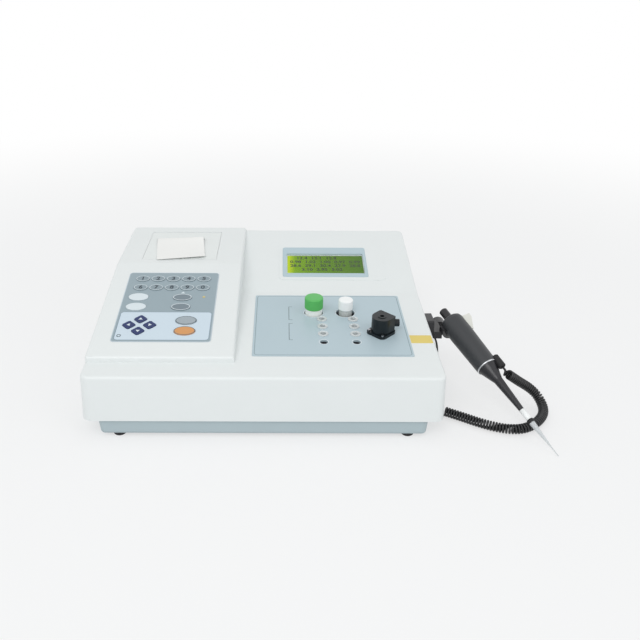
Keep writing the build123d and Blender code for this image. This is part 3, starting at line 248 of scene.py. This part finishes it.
key_silver = Paint("key_silver", (160, 171, 178), 0.42, 0.03, 0.0006, 0.05)
silver_ring = Paint("silver_ring", (205, 207, 210), 0.25, 0.03, 0.0006, 0.03, Metallic=1.0)
clear = Paint("clear_plastic", (240, 245, 246), 0.12, 0.01, 0.002, 0.02, Alpha=0.6)
lever_white = Paint("lever_white", (226, 226, 219), 0.35, 0.01, 0.0006, 0.05)
tip_clear = Paint("tip_clear", (226, 230, 232), 0.2, 0.02, 0.001, 0.03, Alpha=0.7)
vial_clear = Paint("vial_clear", (236, 240, 238), 0.12, 0.01, 0.002, 0.02, Alpha=0.55)
window_clear = Paint("window_clear", (200, 220, 190), 0.08, 0.005, 0.003, 0.0, Alpha=0.04)

# Overlay of the keypad: grey above, a pale rounded field below
overlay = Paint("overlay_film", (150, 167, 175), 0.4, 0.015, 0.0008, 0.05)
field = overlay.around(keypad, FIELD_AT, FIELD_HALF, 4)
inside = overlay.math("LESS_THAN", field, 0.0)
edge_line = overlay.math("MULTIPLY", inside, overlay.math("GREATER_THAN", field, -0.6 * MM))
overlay.over((206, 221, 232), inside)
overlay.over((122, 142, 158), edge_line)
rim = overlay.around(keypad, KEYPAD_AT, KEYPAD_HALF, 3)
overlay.over((196, 208, 216), overlay.math("GREATER_THAN", rim, 0.0))

# Incubator panel: a film with a thin darker line inside its edge
panel = Paint("panel_film", (182, 200, 208), 0.4, 0.015, 0.0009, 0.05)
away = panel.around(roof, PANEL_AT, PANEL_HALF, 3)
thin = panel.math("LESS_THAN", panel.math("ABSOLUTE", away), 0.35 * MM)
panel.over((128, 150, 158), thin)

# Display: a lit face that is brighter at its left end
LIT_FROM, LIT_TO = 24.0, 116.6
lcd = Paint("display_face", (120, 160, 44), 0.35, 0.03, 0.001, 0.0)
split = lcd.node("ShaderNodeSeparateXYZ")
lcd.tree.links.new(lcd.place, split.inputs[0])
ramp = lcd.node("ShaderNodeValToRGB")
spread = lcd.node("ShaderNodeMapRange")
spread.inputs["From Min"].default_value = (display @ Vector((LIT_FROM, 0, 0))).x
spread.inputs["From Max"].default_value = (display @ Vector((LIT_TO, 0, 0))).x
lcd.tree.links.new(split.outputs["X"], spread.inputs["Value"])
lcd.tree.links.new(spread.outputs["Result"], ramp.inputs["Fac"])
steps = [(0.0, (200, 218, 16)), (0.1, (122, 162, 12)), (0.4, (96, 136, 20)), (1.0, (76, 114, 28))]
for at, rgb in steps[1:-1]:
    ramp.color_ramp.elements.new(at)
for element, (at, rgb) in zip(ramp.color_ramp.elements, steps):
    element.position = at
    element.color = [*linear(rgb), 1]
lcd.colour = ramp.outputs["Color"]
lcd.tree.links.new(lcd.colour, lcd.shader.inputs["Base Color"])
lcd.tree.links.new(lcd.colour, lcd.shader.inputs["Emission Color"])
lcd.shader.inputs["Emission Strength"].default_value = 0.06
lcd.shader.inputs["Specular IOR Level"].default_value = 0.1

coats = {
    white: ["top_casing"],
    tray_white: ["base_tray"],
    lid_white: ["printer_lid"],
    rubber: ["feet", "platen_roller", "cord_boot"],
    steel: ["case_screws", "head_screws"],
    sheet_steel: ["power_supply", "feed_motor"],
    aluminium: ["thermal_head", "heating_block"],
    paper: ["paper_roll"],
    dark_plastic: ["roll_spindle", "printer_chassis"],
    board_green: ["keypad_board", "main_board"],
    overlay: ["keypad_overlay"],
    bezel_paint: ["display_bezel"],
    window_clear: ["display_window"],
    module_paint: ["display_module"],
    panel: ["incubator_panel"],
    clear: ["cuvettes"],
    bottle_paint: ["reagent_bottle"],
    vial_clear: ["reagent_vial"],
    head_black: ["optical_head"],
    black: ["power_inlet", "switch_housing", "switch_rocker", "cord_gland", "pipette_holder",
            "pipette_plunger"],
    nose_paint: ["pipette_nose"],
    tip_clear: ["pipette_tip"],
    grip_paint: ["pipette_grip"],
    lever_white: ["thumb_slider"],
    key_grey: [f"key_{digit}" for digit in range(10)],
    key_pale: ["key_print", "key_reset"],
    key_dark: ["key_menu", "key_test"],
    key_silver: ["key_enter"],
    key_orange: ["key_cancel"],
    key_navy: ["key_up", "key_down", "key_left", "key_right"],
}
for paint, names in coats.items():
    for name in names:
        for material_slot in nodes[name].material_slots:
            material_slot.material = paint.material


# Mesh helpers
def skin(made, rings, closed=False, open_rings=False):
    """Quads between each ring of vertices and the next, and from the last to the first if closed."""
    following = rings[1:] + rings[:1] if closed else rings[1:]
    for first, second in zip(rings, following):
        count = len(first)
        for i in range(count - 1 if open_rings else count):
            j = (i + 1) % count
            made.faces.new((first[i], first[j], second[j], second[i]))


def finished(made, name, smooth=False, outward=True):
    """The mesh of a bmesh, which is freed."""
    if outward:
        bmesh.ops.recalc_face_normals(made, faces=made.faces)
    mesh = bpy.data.meshes.new(name)
    made.to_mesh(mesh)
    made.free()
    for polygon in mesh.polygons:
        polygon.use_smooth = smooth
    return mesh


def new_piece(name, mesh, paint, body):
    """A mesh object that rides on a body."""
    made = bpy.data.objects.new(name, mesh)
    bpy.context.scene.collection.objects.link(made)
    mesh.materials.append(paint.material)
    if body:
        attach(made, body)
    return made


def prism(loops, plane, low, high):
    """A mesh of flat prisms over a plane. A loop is a list of points, or a pair of them for a ring."""
    made = bmesh.new()
    for loop in loops:
        if isinstance(loop, tuple):
            outer, inner = loop
            rows = [(outer, low), (outer, high), (inner, high), (inner, low)]
            rings = [[made.verts.new(plane @ Vector((x, y, z))) for x, y in points] for points, z in rows]
            skin(made, rings, closed=True)
        else:
            base = [made.verts.new(plane @ Vector((x, y, low))) for x, y in loop]
            top = [made.verts.new(plane @ Vector((x, y, high))) for x, y in loop]
            made.faces.new(top)
            made.faces.new(base[::-1])
            skin(made, [base, top])
    return finished(made, "prism")


def oval(x, y, a, b, count=48):
    angles = [2 * math.pi * i / count for i in range(count)]
    return [(x + a * math.cos(t), y + b * math.sin(t)) for t in angles]


def rounded(x, y, w, h, r, count=6):
    """A rounded rectangle as a list of points."""
    points = []
    for corner, (sx, sy) in enumerate(((1, 1), (-1, 1), (-1, -1), (1, -1))):
        for i in range(count + 1):
            t = math.pi / 2 * (corner + i / count)
            points.append((sx * (w / 2 - r) + r * math.cos(t), sy * (h / 2 - r) + r * math.sin(t)))
    return [(x + px, y + py) for px, py in points]


def words(name, text, size, plane, x, y, height, paint, body, bold):
    """Plain figures standing a hair above a plane."""
    curve = bpy.data.curves.new(name, "FONT")
    curve.body = text
    curve.size = size
    curve.align_x = "CENTER"
    curve.align_y = "CENTER"
    curve.extrude = 0.02
    curve.offset = bold
    curve.resolution_u = 3
    holder = bpy.data.objects.new(name, curve)
    bpy.context.scene.collection.objects.link(holder)
    bpy.context.view_layer.update()
    solid = holder.evaluated_get(bpy.context.evaluated_depsgraph_get())
    mesh = bpy.data.meshes.new_from_object(solid)
    bpy.data.objects.remove(holder)
    mesh.transform(plane @ Matrix.Translation((x, y, height)))
    new_piece(name, mesh, paint, body)


# Cord: the wire's route on one smooth line, read back and drawn as a round tube
WIRE_R = 1.15
CURL_R = 4.0
CURLS = 67
GLAND, GLAND_PROUD = (175.0, 30.5), 4
LEAD_STATIONS = 160
LEAD_POINTS = [
    (194.5, 175.0, 31.0),
    (199.5, 167.5, 22.5),
    (198.5, 154.0, 10.0),
    (194.0, 137.0, 2.6),
    (187.5, 119.0, 1.2),
    (181.0, 100.0, 1.2),
    (176.0, 82.0, 1.3),
    (174.5, 66.0, 2.4),
    (177.2, 53.0, 4.6),
    (181.7, 45.2, 5.3),
]
CURL_POINTS = [
    (186.0, 41.6, 5.3),
    (201.0, 31.5, 5.3),
    (216.5, 20.0, 5.3),
    (230.5, 12.0, 5.3),
    (244.8, 7.6, 5.3),
    (259.5, 9.2, 5.3),
    (274.5, 20.2, 5.3),
    (286.5, 36.5, 5.5),
    (289.5, 51.5, 7.6),
    (285.5, 61.5, 14.0),
    (276.5, 63.5, 21.8),
    (264.0, 59.0, 30.8),
    (249.2, 51.5, 43.4),
]
WALL_X, WALL_FOOT, WALL_DRAFT = 176.5, 19.5, math.radians(2.0)
PIPETTE_TIP = (279.8, -31.5, 0.9)
PIPETTE_REAR = (204.8, 117.8, 67.9)
wall_x = WALL_X - (GLAND[1] - WALL_FOOT) * math.tan(WALL_DRAFT)
gland_out = Vector((math.cos(WALL_DRAFT), 0, math.sin(WALL_DRAFT)))
exit_point = row(wall_x, *GLAND) + gland_out * GLAND_PROUD * MM
tip = row(*PIPETTE_TIP)
axis = (row(*PIPETTE_REAR) - tip).normalized()
side = Vector((axis.y, -axis.x, 0)).normalized()
lift = side.cross(axis)


def beside(angle, radius, along):
    """A point by the pipette's axis, at an angle from its right side towards its top."""
    t = math.radians(angle)
    return tip + (axis * along + side * (radius * math.cos(t)) + lift * (radius * math.sin(t))) * MM


BOOT = (43.0, 12.0)
BOOT_FROM = 107.0
boot_stub = beside(*BOOT, BOOT_FROM - 2.5)
boot_end = beside(*BOOT, BOOT_FROM + 4)


def smooth_line(points, resolution=24):
    """Points along a NURBS spline with the given control points."""
    curve = bpy.data.curves.new("route", "CURVE")
    curve.dimensions = "3D"
    spline = curve.splines.new("NURBS")
    spline.points.add(len(points) - 1)
    for point, at in zip(spline.points, points):
        point.co = (*at, 1)
    spline.order_u = 3
    spline.use_endpoint_u = True
    curve.resolution_u = resolution
    holder = bpy.data.objects.new("route", curve)
    bpy.context.scene.collection.objects.link(holder)
    bpy.context.view_layer.update()
    mesh = bpy.data.meshes.new_from_object(holder.evaluated_get(bpy.context.evaluated_depsgraph_get()))
    found = [v.co.copy() for v in mesh.vertices]
    bpy.data.objects.remove(holder)
    bpy.data.meshes.remove(mesh)
    return found


def even(points, count):
    """The same line as evenly spaced points, one more than the count."""
    lengths = [0.0]
    for first, second in zip(points, points[1:]):
        lengths.append(lengths[-1] + (second - first).length)
    found, at = [], 0
    for i in range(count + 1):
        want = lengths[-1] * i / count
        while at < len(points) - 2 and lengths[at + 1] < want:
            at += 1
        share = (want - lengths[at]) / max(lengths[at + 1] - lengths[at], 1e-9)
        found.append(points[at].lerp(points[at + 1], min(1, max(0, share))))
    return found


STATIONS = 16
lead = smooth_line([exit_point] + [row(*p) for p in LEAD_POINTS])
centre = smooth_line([row(*p) for p in CURL_POINTS], 32)
centre = even(centre, CURLS * STATIONS)
outward = Vector((0, 0, -1))
helix = []
for i, at in enumerate(centre):
    way = (centre[min(i + 1, len(centre) - 1)] - centre[max(i - 1, 0)]).normalized()
    outward = (outward - way * outward.dot(way)).normalized()
    phase = 2 * math.pi * i / STATIONS
    spoke = outward * math.cos(phase) + way.cross(outward) * math.sin(phase)
    helix.append(at + spoke * CURL_R * MM)
lead = even(lead, LEAD_STATIONS)
reach = 3 * MM
past_lead = lead[-1] + (lead[-1] - lead[-2]).normalized() * reach
before_curls = helix[0] - (helix[1] - helix[0]).normalized() * reach
past_curls = helix[-1] + (helix[-1] - helix[-2]).normalized() * reach
join = smooth_line([lead[-1], past_lead, before_curls, helix[0]])
leave = smooth_line([helix[-1], past_curls, boot_stub - axis * reach, boot_stub, boot_end])
wire = lead + join[1:] + helix[1:] + leave[1:]


def tube(points, radius, sides=10):
    """A round tube along points, with closed ends."""
    made = bmesh.new()
    rings = []
    spoke = Vector((0, 0, 1))
    for i, at in enumerate(points):
        way = (points[min(i + 1, len(points) - 1)] - points[max(i - 1, 0)]).normalized()
        spoke = (spoke - way * spoke.dot(way)).normalized()
        other = way.cross(spoke)
        angles = [2 * math.pi * k / sides for k in range(sides)]
        spokes = [spoke * math.cos(t) + other * math.sin(t) for t in angles]
        rings.append([made.verts.new(at + way_out * radius) for way_out in spokes])
    skin(made, rings)
    made.faces.new(rings[0][::-1])
    made.faces.new(rings[-1])
    return finished(made, "tube", smooth=True)


cord_paint = Paint("cord_black", (24, 25, 27), 0.36, 0.08, 0.0005, 0.1)
cord_piece = new_piece("curled_cord", tube(wire, WIRE_R * MM), cord_paint, None)
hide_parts("handle_cord")
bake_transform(cord_piece)

# Keypad prints: rings inside the keys' edges and figures on the ten digit keys
KEY_PITCH = 17.1
DIGIT_ROWS = (140.7, 122.9)
DIGIT_SIZE = 8.6
FILM = 0.2
KEY_TOP = 0.9
PRINT_T = 0.06

# Outer and inner half sizes of the printed rings
DIGIT_RING = ((7.35, 5.45), (6.75, 4.85))
MENU_RING = ((10.0, 6.15), (9.2, 5.4))
ENTER_RING = ((10.85, 7.2), (10.1, 6.5))
digits = []
for line, along in enumerate(DIGIT_ROWS):
    for column in range(5):
        x = KEYPAD_AT[0] + (column - 2) * KEY_PITCH
        digits.append((str((line * 5 + column + 1) % 10), x, along))


def key_ring(name, x, y, half_sizes, paint, key):
    """A printed oval ring on top of a key."""
    outer, inner = half_sizes
    mesh = prism([(oval(x, y, *outer), oval(x, y, *inner))], keypad, KEY_TOP, KEY_TOP + PRINT_T)
    new_piece(name, mesh, paint, key)


for text, x, y in digits:
    key_ring(f"digit_ring_{text}", x, y, DIGIT_RING, line_white, f"key_{text}")
    height = KEY_TOP + 0.02
    words(f"digit_{text}", text, DIGIT_SIZE, keypad, x, y, height, ink_dark, f"key_{text}", bold=0.25)
for key, x, y in (("key_menu", -90.0, 103.5), ("key_test", -90.0, 85.5)):
    key_ring(f"{key}_ring", x, y, MENU_RING, line_white, key)
for key, x, y in (("key_enter", -81.7, 60.8), ("key_cancel", -81.5, 42.7)):
    key_ring(f"{key}_ring", x, y, ENTER_RING, line_dark, key)

# Arrowheads on the four arrow keys: place and turn of each
arrows = {
    "up": (-128.9, 62.8, 90),
    "down": (-128.9, 42.4, -90),
    "left": (-139.6, 52.6, 180),
    "right": (-118.2, 52.6, 0),
}
arrowhead = ((2.3, 0), (-1.1, 2.2), (-1.1, -2.2))
for name, (x, y, turned) in arrows.items():
    c, s = math.cos(math.radians(turned)), math.sin(math.radians(turned))
    head = [(x + px * c - py * s, y + px * s + py * c) for px, py in arrowhead]
    mesh = prism([head], keypad, KEY_TOP, KEY_TOP + PRINT_T)
    new_piece(f"arrow_{name}", mesh, key_pale, f"key_{name}")

# Small marks on the keypad's film: a triangle, a lamp and a circle
LAMP_AT, LAMP_R = (-66.9, 104.7), 1.6
CIRCLE_AT, CIRCLE_R, CIRCLE_HOLE = (-147.0, 34.6), 2.3, 1.4
triangle = prism([[(-92.5, 111.9), (-88.1, 111.9), (-90.3, 115.3)]], keypad, FILM, FILM + PRINT_T)
new_piece("keypad_triangle", triangle, line_white, "analyzer_body")
lamp_paint = Paint("lamp_amber", (206, 190, 130), 0.3, 0.03, 0.0006, 0.0)
lamp_dot = prism([oval(*LAMP_AT, LAMP_R, LAMP_R, 24)], keypad, FILM, FILM + 0.3)
new_piece("keypad_lamp", lamp_dot, lamp_paint, "analyzer_body")
circle = (oval(*CIRCLE_AT, CIRCLE_R, CIRCLE_R, 24), oval(*CIRCLE_AT, CIRCLE_HOLE, CIRCLE_HOLE, 24))
circle_mesh = prism([circle], keypad, FILM, FILM + PRINT_T)
new_piece("keypad_circle", circle_mesh, line_dark, "analyzer_body")

# Panel prints: brackets left of the wells, and rings round the two front wells, the bottle and the vial
PANEL_TOP = 0.5
BRACKET_X = (24.9, 25.5, 29.0)
BRACKET_SPANS = ((113.5, 143.7), (70.8, 105.7))
BRACKET_LINE = 0.5
WELL_RING, WELL_RING_HOLE = 5.2, 4.3
WIDE_WELL_RING, WIDE_WELL_HOLE = 11.2, 10.4
outer_x, inner_x, arm_x = BRACKET_X
brackets = []
for low, high in BRACKET_SPANS:
    brackets.append([(outer_x, low), (inner_x, low), (inner_x, high), (outer_x, high)])
    for along in (low, high - BRACKET_LINE):
        upper = along + BRACKET_LINE
        brackets.append([(inner_x, along), (arm_x, along), (arm_x, upper), (inner_x, upper)])
bracket_mesh = prism(brackets, roof, PANEL_TOP, PANEL_TOP + 0.05)
new_piece("panel_brackets", bracket_mesh, line_dark, "analyzer_body")
ringed = [((x, WELL_FIRST), WELL_RING, WELL_RING_HOLE) for x in WELL_COLUMNS]
ringed += [(place, WIDE_WELL_RING, WIDE_WELL_HOLE) for place in (BOTTLE_AT, VIAL_AT)]
rings = [(oval(*place, outer, outer), oval(*place, inner, inner)) for place, outer, inner in ringed]
ring_mesh = prism(rings, roof, PANEL_TOP, PANEL_TOP + 0.08)
new_piece("well_rings", ring_mesh, line_white, "analyzer_body")

# Blank yellow label on the roof
LABEL_AT, LABEL_SIZE = (161.2, 73.9), (22.5, 16.0)
label = [rounded(*LABEL_AT, *LABEL_SIZE, 0.8)]
new_piece("roof_label", prism(label, roof, 0.0, 0.08), label_yellow, "analyzer_body")

# Display face and its rows of figures
FACE_LOW, FACE_HIGH, INK_HEIGHT = -0.79, -0.77, -0.74
ROW_FIRST, ROW_PITCH, ROW_SIZE = 73.2, 8.45, 7.9
face = [rounded(*FACE_AT, *FACE_SIZE, 0.5)]
new_piece("display_face", prism(face, display, FACE_LOW, FACE_HIGH), lcd, "analyzer_body")
figures = [
    ("12.4  13.1  12.8", 60.0),
    ("0.98  1.02  1.00  0.97  0.99", FACE_AT[0]),
    ("28.6  29.1  30.4  27.9  28.8", FACE_AT[0]),
    ("3.10  2.95  3.02", 66.0),
]
for line, (text, x) in enumerate(figures):
    y = ROW_FIRST - line * ROW_PITCH
    name = f"display_row_{line}"
    words(name, text, ROW_SIZE, display, x, y, INK_HEIGHT, lcd_ink, "analyzer_body", bold=0.2)

# Paper strip: out of the slot, folded forward a little askew, its right side lifted off the lid
FOLD_RUN = 20
FOLD_TURN = math.radians(8.0)
LEAN_FROM = 72.0
LEAN = math.radians(7.0)
STRIP_COLUMNS = 16
STRIP_PROFILE = [
    (SLOT_Y, -2.6),
    (SLOT_Y, 0.6),
    (76.4, 2.0),
    (74.4, 2.9),
    (70.5, 2.9),
    (64.0, 2.1),
    (56.0, 1.3),
    (48.0, 0.8),
    (40.0, 0.6),
    (32.0, 0.6),
    (24.0, 0.8),
    (17.0, 1.2),
    (11.5, 1.6),
]


def paper_strip():
    made = bmesh.new()
    grid = []
    for i, (along, height) in enumerate(STRIP_PROFILE):
        folded = min(1.0, max(0.0, (SLOT_Y - along) / FOLD_RUN))
        turned = FOLD_TURN * folded * folded * (3 - 2 * folded)
        middle = SLOT_X + max(0.0, LEAN_FROM - along) * math.tan(LEAN)
        rows = []
        for k in range(STRIP_COLUMNS + 1):
            across = PAPER_W * (k / STRIP_COLUMNS - 0.5)
            if i < 2:
                spot = Vector((SLOT_X + across, along, height))
            else:
                x = middle + across * math.cos(turned)
                y = along + across * math.sin(turned)
                spot = Vector((x, y, max(height * (1 + across / PAPER_W), 0.2)))
            rows.append(made.verts.new(printer @ spot))
        grid.append(rows)
    skin(made, grid, open_rings=True)
    return finished(made, "paper_strip", smooth=True, outward=False)


strip = new_piece("paper_strip", paper_strip(), paper, "lid")
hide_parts("paper_tongue")
thicken = strip.modifiers.new("thickness", "SOLIDIFY")
thicken.thickness = PAPER_T * MM
round_off = strip.modifiers.new("smooth", "SUBSURF")
round_off.levels = 2
round_off.render_levels = 2


# Caps with ribbed sides
def ribbed_cap(name, node, place, radius, low, high, ribs, depth, paint, body):
    """A cap over the roof, drawn in place of a plain one."""
    made = bmesh.new()
    x, y = place
    count = ribs * 4
    rows = [(radius - 0.5, low, 0.0), (radius - 0.1, low + 0.3, 0.3), (radius, low + 0.9, 1.0)]
    rows += [(radius, high - 1.8, 1.0), (radius - 0.1, high - 1.1, 0.4), (radius - 0.5, high - 0.45, 0.0)]
    rows += [(radius - 1.2, high - 0.1, 0.0), (radius - 2.2, high, 0.0), (radius * 0.4, high, 0.0)]
    rings = []
    for r, z, share in rows:
        ring = []
        for i in range(count):
            t = 2 * math.pi * i / count
            out = r - depth * share * (0.5 - 0.5 * math.cos(ribs * t))
            ring.append(made.verts.new(roof @ Vector((x + out * math.cos(t), y + out * math.sin(t), z))))
        rings.append(ring)
    skin(made, rings)
    made.faces.new(rings[-1])
    made.faces.new(rings[0][::-1])
    mesh = finished(made, name)
    for polygon in mesh.polygons:
        polygon.use_smooth = len(polygon.vertices) == 4
    piece = new_piece(name, mesh, paint, body)
    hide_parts(node)


ribbed_cap(
    "green_cap",
    "bottle_cap",
    BOTTLE_AT,
    radius=10.0,
    low=7.0,
    high=20.0,
    ribs=60,
    depth=0.3,
    paint=cap_green,
    body="bottle_lid",
)
ribbed_cap(
    "white_cap",
    "vial_cap",
    VIAL_AT,
    radius=7.9,
    low=6.0,
    high=17.3,
    ribs=48,
    depth=0.25,
    paint=cap_white,
    body="vial_lid",
)


def round_about(points, name, paint, body, count=48):
    """A turned piece round the pipette's axis from points of radius and distance, closed on itself."""
    made = bmesh.new()
    rings = []
    for i in range(count):
        angle = 360 * i / count
        rings.append([made.verts.new(beside(angle, r, s)) for r, s in points])
    skin(made, rings, closed=True)
    new_piece(name, finished(made, name, smooth=True), paint, body)


front_ring = [(10.65, 116.2), (11.3, 116.4), (11.4, 117.2), (11.3, 118.0), (10.65, 118.0)]
round_about(front_ring, "front_ring", silver_ring, "pipette")
tip_ring = [(3.02, 41.0), (3.5, 41.2), (3.6, 43.0), (3.5, 44.8), (3.02, 45.0)]
round_about(tip_ring, "tip_ring", rubber, "pipette")
nose_sleeve = [(2.52, 45.0), (2.75, 45.2), (2.8, 57.6), (2.52, 57.8)]
round_about(nose_sleeve, "nose_sleeve", cap_white, "pipette")


# Floor and light
def seen_directly(tree):
    """1 for camera, glossy and transmission rays, so that all of them show the same background."""
    rays = tree.nodes.new("ShaderNodeLightPath")
    total = rays.outputs["Is Camera Ray"]
    for name in ("Is Glossy Ray", "Is Transmission Ray"):
        step = tree.nodes.new("ShaderNodeMath")
        step.operation = "MAXIMUM"
        tree.links.new(total, step.inputs[0])
        tree.links.new(rays.outputs[name], step.inputs[1])
        total = step.outputs[0]
    return total


floor_corners = [(-6000, -6000), (6000, -6000), (6000, 9000), (-6000, 9000)]
floor_mesh = prism([floor_corners], Matrix.Scale(MM, 4), -20, 0)
floor = bpy.data.objects.new("floor", floor_mesh)
bpy.context.scene.collection.objects.link(floor)
floor_paint = bpy.data.materials.new("floor")
floor_paint.use_nodes = True
tree = floor_paint.node_tree
matt = tree.nodes["Principled BSDF"]
matt.inputs["Base Color"].default_value = (0.8, 0.81, 0.82, 1)
matt.inputs["Roughness"].default_value = 0.9
glow = tree.nodes.new("ShaderNodeEmission")
glow.inputs["Color"].default_value = (1, 1, 1, 1)
centre_out = tree.nodes.new("ShaderNodeVectorMath")
centre_out.operation = "LENGTH"
tree.links.new(tree.nodes.new("ShaderNodeTexCoord").outputs["Object"], centre_out.inputs[0])
fade = tree.nodes.new("ShaderNodeMapRange")
fade.interpolation_type = "SMOOTHSTEP"
for key, value in (("From Min", 0.4), ("From Max", 1.6), ("To Min", 0.6), ("To Max", 1.0)):
    fade.inputs[key].default_value = value
tree.links.new(centre_out.outputs["Value"], fade.inputs["Value"])
share = tree.nodes.new("ShaderNodeMath")
share.operation = "MULTIPLY"
tree.links.new(seen_directly(tree), share.inputs[0])
tree.links.new(fade.outputs["Result"], share.inputs[1])
both = tree.nodes.new("ShaderNodeMixShader")
tree.links.new(share.outputs[0], both.inputs["Fac"])
tree.links.new(matt.outputs["BSDF"], both.inputs[1])
tree.links.new(glow.outputs["Emission"], both.inputs[2])
tree.links.new(both.outputs["Shader"], tree.nodes["Material Output"].inputs["Surface"])
floor_mesh.materials.append(floor_paint)

world = bpy.data.worlds.new("studio")
bpy.context.scene.world = world
world.use_nodes = True
tree = world.node_tree
sky = tree.nodes["Background"]
sky.inputs["Color"].default_value = (0.985, 1.0, 1.0, 1)
sky.inputs["Strength"].default_value = 0.7
backdrop = tree.nodes.new("ShaderNodeBackground")
backdrop.inputs["Color"].default_value = (1, 1, 1, 1)
backdrop.inputs["Strength"].default_value = 1.0
seen = tree.nodes.new("ShaderNodeMixShader")
tree.links.new(seen_directly(tree), seen.inputs["Fac"])
tree.links.new(sky.outputs["Background"], seen.inputs[1])
tree.links.new(backdrop.outputs["Background"], seen.inputs[2])
tree.links.new(seen.outputs["Shader"], tree.nodes["World Output"].inputs["Surface"])


def lamp(name, at, aim, size, power):
    data = bpy.data.lights.new(name, "AREA")
    data.shape = "DISK"
    data.size = size
    data.energy = power
    made = bpy.data.objects.new(name, data)
    made.location = at
    made.rotation_euler = (Vector(aim) - Vector(at)).to_track_quat("-Z", "Y").to_euler()
    bpy.context.scene.collection.objects.link(made)


lamp("key", (-0.6, -1.5, 1.7), (0, 0, 0.05), 1.4, 14.5)
lamp("fill", (1.5, -1.1, 1.2), (0, 0, 0.05), 1.2, 4.6)
